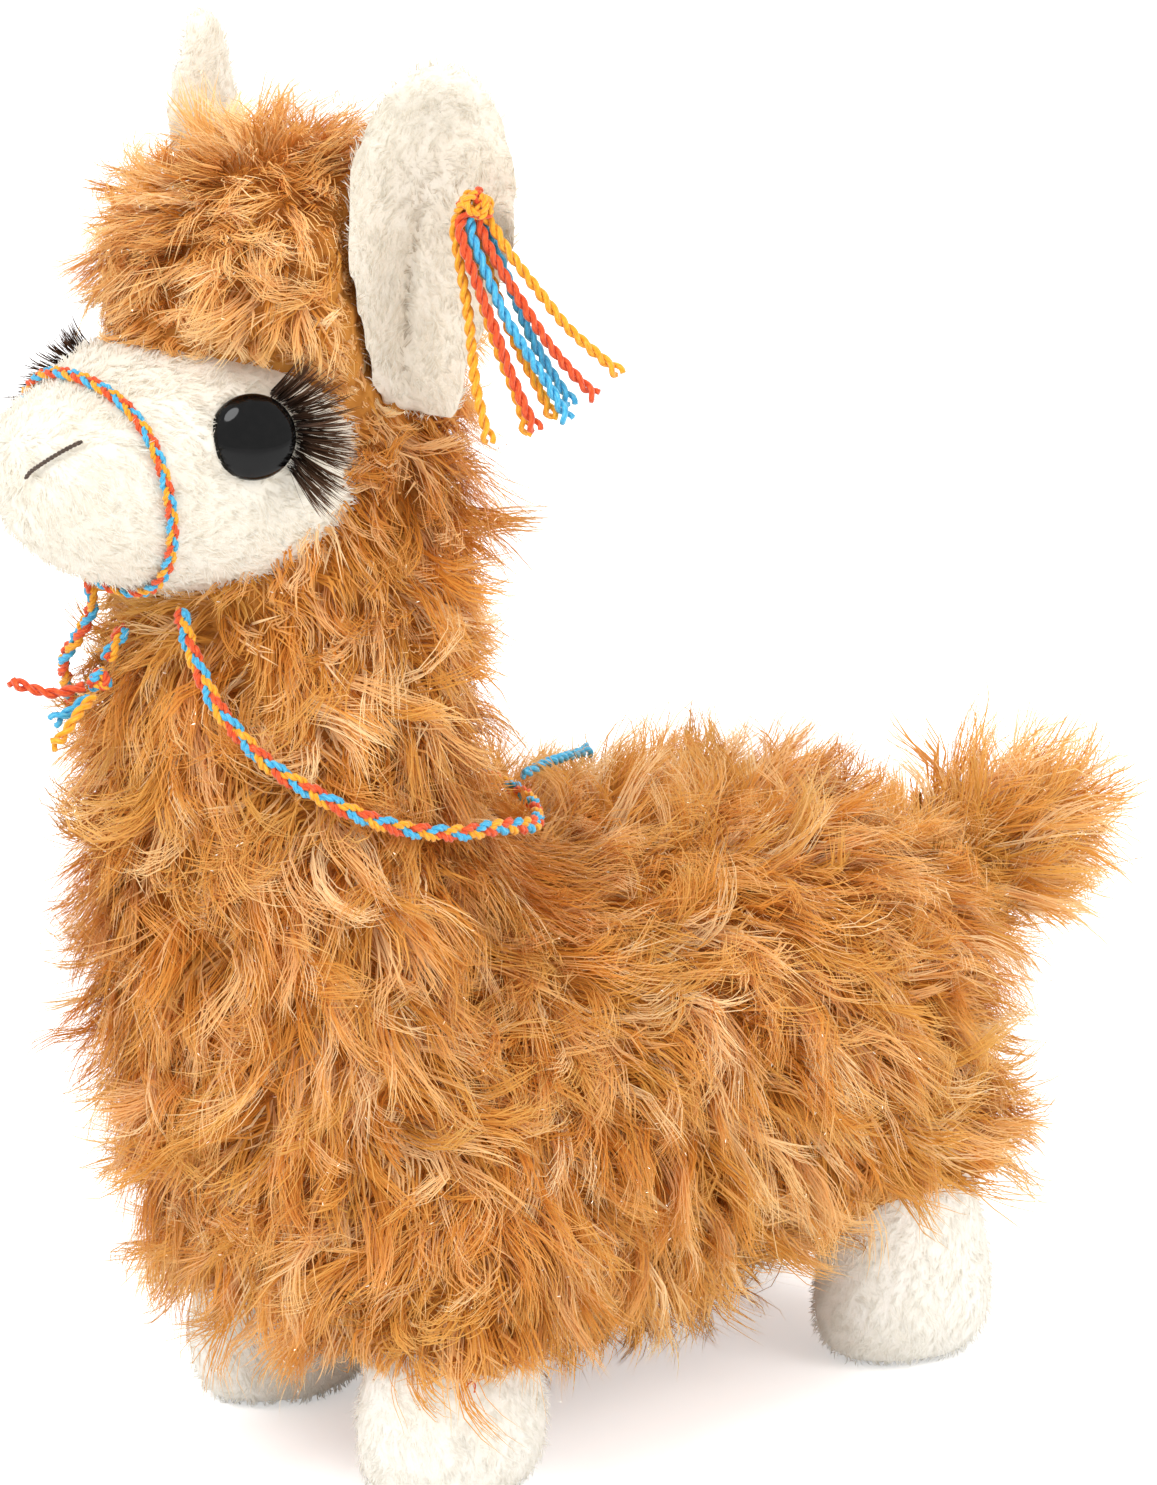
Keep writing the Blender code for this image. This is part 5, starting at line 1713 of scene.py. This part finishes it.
@dataclass
class Skein:
    """Tubes of yarn gathered into one mesh."""

    places: list[Array] = field(default_factory=list)
    faces: list[tuple[int, ...]] = field(default_factory=list)
    colours: list[int] = field(default_factory=list)
    uvs: list[tuple[float, float]] = field(default_factory=list)

    def tube(self, line: Array, radius: float, colour: Yarn, sides: int, closed: bool = False) -> Skein:
        """Add one tube.

        Args:
            line: its centre line.
            radius: its radius.
            colour: its yarn.
            sides: of its section.
            closed: whether it is a ring.

        Returns:
            The skein.
        """
        normal, side = frames_along(line, closed=closed)
        turn = np.arange(sides) / sides * math.tau
        ring = (normal[:, None, :] * np.cos(turn)[None, :, None]
                + side[:, None, :] * np.sin(turn)[None, :, None])
        along = length_along(line) / MM
        first, rows = sum(len(places) for places in self.places), len(line)
        last = rows if closed else rows - 1
        for r in range(last):
            a, b = first + r * sides, first + (r + 1) % rows * sides
            u0, u1 = along[r], along[r + 1] if r + 1 < rows else along[r] + along[1]
            for k in range(sides):
                j = (k + 1) % sides
                self.faces.append((a + k, b + k, b + j, a + j))
                v0, v1 = k / sides, (k + 1) / sides
                self.uvs.extend(((u0, v0), (u1, v0), (u1, v1), (u0, v1)))
                self.colours.append(colour.value)
        self.places.append((line[:, None, :] + ring * radius).reshape(-1, 3))
        if closed:
            return self
        for end, (r, order) in enumerate(((0, 1), (rows - 1, -1))):
            centre = first + rows * sides + end
            for k in range(sides):
                pair = (first + r * sides + k, first + r * sides + (k + 1) % sides)[::order]
                self.faces.append((centre, *pair))
                self.uvs.extend(((along[r], 0.5), (along[r], 0.0), (along[r], 1.0)))
                self.colours.append(colour.value)
        self.places.append(line[[0, -1]])
        return self

    def plied(self, line: Array, colour: Yarn, gauge: Gauge, closed: bool = False,
              flare: float = 0.0) -> Skein:
        """Add one yarn of two plies twisted together.

        Args:
            line: the yarn's centre line.
            colour: its colour.
            gauge: its sizes.
            closed: whether it is a ring.
            flare: how far its plies come apart at its cut end.

        Returns:
            The skein.
        """
        normal, side = frames_along(line, closed=closed)
        along = length_along(line)
        spread = gauge.offset + flare * soft_step(along, along[-1] - FLARE_LENGTH, along[-1])
        for ply in (0, 1):
            turn = math.tau * along / fitted_pitch(line, gauge.pitch, closed) + ply * math.pi
            centre = line + (normal * np.cos(turn)[:, None] + side * np.sin(turn)[:, None]) * spread[:, None]
            self.tube(centre, gauge.ply, colour, gauge.sides, closed)
        return self

    def braid(self, line: Array, outward: Array, gauge: Gauge, closed: bool = False) -> Skein:
        """Add a flat braid of three yarns, one of each colour.

        Args:
            line: the braid's centre line.
            outward: the way off what it lies on, at each point.
            gauge: its sizes.
            closed: whether it is a ring.

        Returns:
            The skein.
        """
        normal, side = frames_along(line, outward, closed)
        period = fitted_pitch(line, gauge.period, closed)
        for number, colour in enumerate(Yarn):
            phase = math.tau * (length_along(line) / period + number / len(Yarn))
            centre = (line + side * (gauge.sway * np.sin(phase))[:, None]
                      + normal * (gauge.weave * np.sin(2 * phase))[:, None])
            self.plied(centre, colour, gauge, closed)
        return self

    def mesh(self, name: str, materials: list[Material]) -> Object:
        """Make the mesh.

        Args:
            name: the piece's name.
            materials: of the yarns, in the order of the Yarn colours.

        Returns:
            The new object.
        """
        mesh = bpy.data.meshes.new(name)
        mesh.from_pydata(np.concatenate(self.places).tolist(), [], self.faces)
        for material in materials:
            mesh.materials.append(material)
        mesh.polygons.foreach_set("material_index", np.array(self.colours, np.int32))
        mesh.uv_layers.new(name="yarn").data.foreach_set("uv", np.array(self.uvs, np.float32).ravel())
        mesh.shade_smooth()
        mesh.update()
        return new_object(name, mesh)


@dataclass(frozen=True)
class Gauge:
    """The sizes of a yarn and of the braid that is made from it."""

    ply: float = 0.36 * MM
    offset: float = 0.3 * MM
    pitch: float = 2.6 * MM
    period: float = 9.0 * MM
    sway: float = 0.72 * MM
    weave: float = 0.36 * MM
    step: float = 0.45 * MM
    sides: int = 5


# The noseband is braided of finer yarn, and a single yarn is looser and thicker than one in a tight braid
FINE = Gauge(ply=0.27 * MM, offset=0.22 * MM, pitch=2.0 * MM, period=6.6 * MM, sway=0.54 * MM, weave=0.27 * MM)
LOOSE = Gauge(ply=0.45 * MM, offset=0.4 * MM, pitch=4.4 * MM)
FLARE = 0.4 * MM
FLARE_LENGTH = 2.6 * MM


def loose_yarn(name: str, line: Array, colour: Yarn, materials: list[Material],
               node: str) -> Object:
    """Make a single yarn with a cut end, where its plies come apart.

    Args:
        name: the piece's name.
        line: its centre line.
        colour: its colour.
        materials: of the yarns.
        node: the CAD node that it stands for.

    Returns:
        The yarn, handed to the frame.
    """
    yarn = Skein().plied(line, colour, LOOSE, flare=FLARE).mesh(name, materials)
    return finish_piece(yarn, None, (node,))


@dataclass(frozen=True)
class Rein:
    """The braid from the chin round the neck and over the back, its free end, its knot and its loose yarns.

    Its points are those of the CAD source, in millimetres.
    """

    left: tuple[Place, ...] = (
        (10.8, -82.9, 135.4), (10.9, -82.0, 131.6), (12.8, -82.0, 128.4), (15.2, -82.0, 125.4),
        (18.8, -81.6, 121.4), (23.0, -77.6, 115.0), (27.6, -73.6, 111.2), (31.0, -68.6, 107.8),
        (32.6, -61.0, 104.4), (33.2, -52.0, 102.2), (31.6, -43.0, 101.0), (26.0, -31.6, 98.2),
        (15.0, -23.6, 97.6), (5.0, -21.0, 97.6))
    end: tuple[Place, ...] = ((-0.4, -84.2, 130.8), (-1.4, -85.2, 128.4), (-1.5, -86.6, 126.2))
    knot: Place = (-1.4, -88.0, 123.6)
    red: tuple[Place, ...] = (
        (-2.6, -89.8, 122.6), (-5.0, -93.2, 121.8), (-7.2, -96.0, 122.6), (-8.4, -98.2, 123.6))
    blue: tuple[Place, ...] = ((-1.8, -89.6, 121.4), (-2.6, -92.0, 119.6), (-3.0, -95.0, 118.4))
    yellow: tuple[Place, ...] = (
        (-0.4, -89.8, 121.6), (0.4, -93.0, 120.0), (0.8, -96.0, 117.4), (1.0, -98.0, 116.4))
    back: tuple[Place, ...] = (
        (6.0, -17.4, 98.2), (3.0, -10.5, 98.0), (-1.0, -3.0, 96.8), (-4.6, 4.0, 95.6))
    diameter: float = 2.1 * MM
    neck: tuple[float, float] = (0.0, -55.0)

    def line(self, step: float) -> Array:
        """Return the rein's centre line, at an even step, in metres."""
        left = np.array(self.left) * MM
        right = left[::-1] * np.array([-1, 1, 1])
        return smooth_line(np.concatenate([left, right]), step)

    def outward(self, line: Array) -> Array:
        """Return the way off the neck at each point of a line."""
        way = line - np.array([*self.neck, 0]) * MM
        way[:, 2] = 0.006
        return unit(way)

    def make(self, gauge: Gauge, materials: list[Material]) -> list[Object]:
        """Make the rein and the pieces on it.

        Args:
            gauge: the yarn's sizes.
            materials: of the yarns.

        Returns:
            The rein, then its free end, knot and loose yarns.
        """
        line = self.line(gauge.step)
        rein = Skein().braid(line, self.outward(line), gauge).mesh("rein_braid", materials)
        end = smooth_line(np.array(self.end) * MM, gauge.step)
        free_end = Skein().braid(end, self.outward(end), gauge).mesh("free_braid_end", materials)
        tied = knot("braid_knot", np.array(self.knot) * MM, 1.05 * MM, gauge, materials,
                    (Yarn.RED, Yarn.BLUE, Yarn.YELLOW))
        pieces = [finish_piece(free_end, None, ("braid_end",)),
                  finish_piece(tied, None, ("rein_knot",))]
        loose = (("red", self.red, Yarn.RED), ("blue", self.blue, Yarn.BLUE),
                 ("yellow", self.yellow, Yarn.YELLOW), ("back_blue", self.back, Yarn.BLUE))
        for name, points, colour in loose:
            points = smooth_line(np.array(points) * MM, 0.3 * MM)
            pieces.append(loose_yarn(f"loose_yarn_{name}", points, colour, materials, f"yarn_end_{name}"))
        finish_piece(rein, None, ("rein",))
        return [rein, *pieces]


def knot(name: str, centre: Array, size: float, gauge: Gauge, materials: list[Material],
         colours: tuple[Yarn, ...]) -> Object:
    """Make a small round knot of yarn.

    Args:
        name: the piece's name.
        centre: its middle.
        size: how far its turns lie from its middle.
        gauge: the yarn's sizes.
        materials: of the yarns.
        colours: of its turns.

    Returns:
        The knot.
    """
    skein = Skein()
    for number, colour in enumerate(colours):
        t = np.linspace(0, math.tau, 72, endpoint=False)
        swing = size * (1 + 0.32 * np.cos(3 * t + number))
        high = 0.62 * size * np.sin(3 * t + number * 2.1)
        ring = np.stack([swing * np.cos(t), swing * np.sin(t), high], axis=1)
        turned = Matrix.Rotation(number * 1.9 + 0.4, 3, Vector((1, 0.4 * number, 0.3)))
        skein.plied(ring @ np.array(turned).T + centre, colour, gauge, closed=True)
    return skein.mesh(name, materials)


@dataclass(frozen=True)
class Tassel:
    """The tassel on the left ear: its knot and its eight hanging yarns, placed as in the CAD source."""

    seat: Place
    layer: float = 1.0 * MM
    outwards: float = 4.5 * MM
    heading: float = math.radians(17)
    reach: float = 3.85 * MM
    narrowed: float = 0.87
    wobble: float = 0.45 * MM
    rows: tuple[tuple[str, int, float, float, float], ...] = (
        ("yellow_1", -1, -2.6, 3.5, 30.0), ("yellow_2", -1, -0.9, 8.5, 28.5),
        ("yellow_3", -1, 0.8, 10.5, 26.5), ("blue_2", -1, 2.3, 12.0, 25.5), ("red_1", 1, -2.7, 11.5, 28.5),
        ("blue_1", 1, -0.9, 14.5, 26.5), ("red_2", 1, 0.8, 17.0, 23.5), ("yellow_4", 1, 2.5, 19.0, 21.5))
    seed: int = 5

    def make(self, gauge: Gauge, materials: list[Material]) -> None:
        """Make the tassel's pieces.

        Args:
            gauge: the yarn's sizes.
            materials: of the yarns.
        """
        rng = np.random.default_rng(self.seed)
        seat = np.array(self.seat)
        finish_piece(knot("ear_knot", seat, 1.75 * MM, gauge, materials,
                          (Yarn.YELLOW, Yarn.YELLOW, Yarn.RED, Yarn.YELLOW)), None,
                     ("tassel_knot",))
        aside = np.array([math.sin(self.heading), math.cos(self.heading), 0])
        ahead = np.array([aside[1], -aside[0], 0])
        for name, layer, place, splay, drop in self.rows:
            place, splay, drop = place * MM, splay * self.narrowed * MM, drop * MM
            depth = math.sqrt(self.reach ** 2 - place ** 2 - (layer * self.layer) ** 2)
            start = seat + aside * place + ahead * layer * self.layer - np.array([0, 0, depth])
            t = np.linspace(0, 1, 90)
            swing = (aside[None, :] * (splay * t ** 1.3)[:, None]
                     + ahead[None, :] * (self.outwards * t ** 0.6)[:, None]
                     - np.array([0, 0, 1])[None, :] * (drop * t)[:, None])
            waves = np.sin(t * math.tau * rng.uniform(0.9, 1.5) + rng.uniform(0, 6))
            wobble = aside[None, :] * waves[:, None] * self.wobble * t[:, None]
            line = start + swing + wobble
            head = seat + (start - seat) * 0.35
            line = np.concatenate([np.linspace(head, line[0], 8)[:-1], line])
            loose_yarn(f"tassel_yarn_{name}", smooth_line(line[::6], 0.35 * MM),
                       Yarn[name.split("_")[0].upper()], materials, f"tassel_{name}")


def halter_line(face: BVHTree, count: int = 300, lift_mm: float = 1.0,
                nose: Place = (0, -0.1045, 0.1546)) -> tuple[Array, Array]:
    """Return the ring of the noseband on the plush round the muzzle, and the way off the plush along it.

    Args:
        face: the search tree of the plush face.
        count: how many points it has.
        lift_mm: how far its middle lies off the plush.
        nose: the tip of the muzzle. The ring lies nearer to it above than below.
    """
    ring, off = [], []
    for angle in np.arange(count) / count * math.tau:
        distance = (12.5 + 6.5 * (1 - math.cos(angle)) / 2) * MM
        ray = Vector((math.sin(angle), 0, math.cos(angle)))
        start = Vector((nose[0], nose[1] + distance, nose[2])) + ray * 0.05
        spot, normal = on_skin(face, start, -ray, lift_mm)
        ring.append(spot)
        off.append(normal)
    line, outward = np.array(ring), np.array(off)
    for _ in range(12):
        line = line * 0.5 + (np.roll(line, 1, 0) + np.roll(line, -1, 0)) * 0.25
        outward = outward * 0.5 + (np.roll(outward, 1, 0) + np.roll(outward, -1, 0)) * 0.25
    return line, unit(outward)


@dataclass(frozen=True)
class Mouth:
    """One line of thread on each side of the muzzle, from its hook up the cheek, in millimetres."""

    line: tuple[tuple[float, float], ...] = (
        (4.2, 156.2), (5.0, 157.2), (6.4, 158.3), (7.8, 159.5), (8.8, 160.4), (9.5, 161.0))
    thread: float = 0.2 * MM

    def make(self, name: str, face: BVHTree, side: int, material: Material) -> Object:
        """Make one side's stitch.

        Args:
            name: the piece's name.
            face: the search tree of the plush face.
            side: 1 for the left, -1 for the right.
            material: of the thread.

        Returns:
            The stitch, a thread of two plies that lies in the nap.
        """
        route = [on_skin(face, Vector((side * across * MM, -0.16, height * MM)), Vector((0, 1, 0)), 0.9)[0]
                 for across, height in self.line]
        gauge = Gauge(ply=self.thread, offset=0.14 * MM, pitch=1.2 * MM, sides=6)
        return Skein().plied(smooth_line(np.array(route), 0.15 * MM), Yarn.RED, gauge).mesh(name, [material])


def make_lint(feet: BVHTree, studio: Studio, material: Material) -> Object:
    """Make the scrap of red fibre that clings to the near front foot.

    Args:
        feet: the search tree of the plush feet.
        studio: the camera's values, to find where it lies.
        material: of the fibre.

    Returns:
        The scrap.
    """
    eye = studio.stand()
    route = [on_skin(feet, eye, (studio.at_pixel(x, y) - eye).normalized(), 1.5)[0]
             for x, y in ((462, 1386), (467, 1380), (471, 1383), (470, 1391))]
    line = smooth_line(np.array(route), 0.2 * MM)
    return Skein().tube(line, 0.12 * MM, Yarn.RED, 5).mesh("lint", [material])


def make_face(plush: Material, nap: Material, rng: np.random.Generator) -> BVHTree:
    """Make the plush face with its nap, its eyes, lashes and mouth.

    Args:
        plush: the material of its skin.
        nap: the material of its nap.
        rng: the source of chance.

    Returns:
        The search tree of its skin.
    """
    face = Stuffing(voxel_mm=1.6, rounds=4).make("plush_face", ("face",))
    slim_muzzle(face)
    frames = {name: Eye().frame(f"eye_{name}", side) for name, side in SIDES.items()}
    # The nap round the eyes takes a painted shade
    shade = shade_face(face, frames)
    places = vertices_of(face)
    comb = unit(np.stack([places[:, 0] * 8, 0.8 + 0 * places[:, 1], -0.35 + 0 * places[:, 1]], axis=1))
    fibres = grow_nap("face_nap", face, comb, rng, shade, places[:, 1] < FACE_BACK)
    finish_piece(fibres, nap, ("face",))
    finish_piece(face, plush, ("face",))
    skin = BVHTree.FromObject(face, bpy.context.evaluated_depsgraph_get())
    eye_black, lash_fibre = eye_material(), lash_material()
    thread = YarnFinish("brown-grey mouth thread", "382A22", "4E3D32", "6A5444").make()
    for name, side in SIDES.items():
        eye = Eye().make(f"safety_eye_{name}", f"eye_{name}", side)
        finish_piece(eye, eye_black, (f"eye_{name}",))
        lashes = Lashes().make(f"lashes_{name}", frames[name], skin)
        finish_piece(lashes, lash_fibre, (f"eyelash_{name}",))
        mouth = Mouth().make(f"mouth_thread_{name}", skin, side, thread)
        finish_piece(mouth, thread, (f"mouth_stitch_{name}",))
    return skin


def make_ears(plush: Material, nap: Material, rng: np.random.Generator) -> None:
    """Make both plush ears with their nap.

    Args:
        plush: the material of their skin.
        nap: the material of their nap.
        rng: the source of chance.
    """
    stuffing = Stuffing(voxel_mm=1.4, rounds=5, inset_mm=0.3, cap_mm=0.6)
    for name, side in SIDES.items():
        ear = stuffing.make(f"plush_ear_{name}", (f"ear_{name}",))
        # The ear's painted shade in its crease and cup darkens its nap
        up, painted_hollow_shade = EarShape().fold(ear, side)
        fibres = grow_nap(f"ear_nap_{name}", ear, up, rng, painted_hollow_shade)
        finish_piece(fibres, nap, (f"ear_{name}",))
        finish_piece(ear, plush, (f"ear_{name}",))


def make_feet(rng: np.random.Generator) -> BVHTree:
    """Make the four plush feet with their nap, in lighter copies of the plush: painted light, as less light
    reaches the feet.

    Args:
        rng: the source of chance.

    Returns:
        The search tree of their skins.
    """
    # Painted light: lighter copies of the plush and its nap make up for the feet getting less light from above
    plush = PlushFinish("cream short-pile plush with painted light", "FBF8F0", "F5F0E4").make()
    nap = NapFinish("cream plush nap with painted light", "FAF6EC", "FFFDF6").make()
    for name in FEET:
        foot = Stuffing(voxel_mm=2.4, rounds=4).make(f"plush_{name}", (name,))
        places = vertices_of(foot)
        set_vertices(foot, np.maximum(places, [-1, -1, 0.0]))
        down = np.tile([0.0, 0.15, -1.0], (len(places), 1))
        clear = (places[:, 2] > FOOT_NAP[0]) & (places[:, 2] < FOOT_NAP[1])
        fibres = grow_nap(f"nap_{name}", foot, down, rng, keep=clear)
        finish_piece(fibres, nap, (name,))
        finish_piece(foot, plush, (name,))
    return tree_of(*(f"plush_{name}" for name in FEET))


def main() -> None:
    """Build the scene in order."""
    logging.basicConfig(level=logging.INFO, format="%(name)s: %(message)s")
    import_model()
    studio = Studio()
    studio.place_camera()
    studio.light()
    studio.add_floor()

    gauge, yarns, rein = Gauge(), yarn_materials(), Rein()
    rein.make(gauge, yarns)
    rng = np.random.default_rng(3)
    plush, nap = PlushFinish().make(), NapFinish().make()
    face = make_face(plush, nap, rng)
    noseband = Skein().braid(*halter_line(face), FINE, closed=True).mesh("halter_braid", yarns)
    finish_piece(noseband, None, ("noseband",))
    make_ears(plush, nap, rng)
    feet = make_feet(rng)
    finish_piece(make_lint(feet, studio, yarns[0]), yarns[0])
    Tassel(seat=(0.033567, -0.048818, 0.191399)).make(gauge, yarns)
    washer = washer_material()
    for name in SIDES:
        dress(bpy.data.objects[f"eye_washer_{name}"], washer)
    Pelt().make(rein, rng)
    count = sum(len(p.vertices) - 2 for o in bpy.data.objects if o.type == "MESH" and not o.hide_render
                for p in o.data.polygons)
    LOG.info("%d triangles in all", count)


if __name__ == "__main__":
    main()
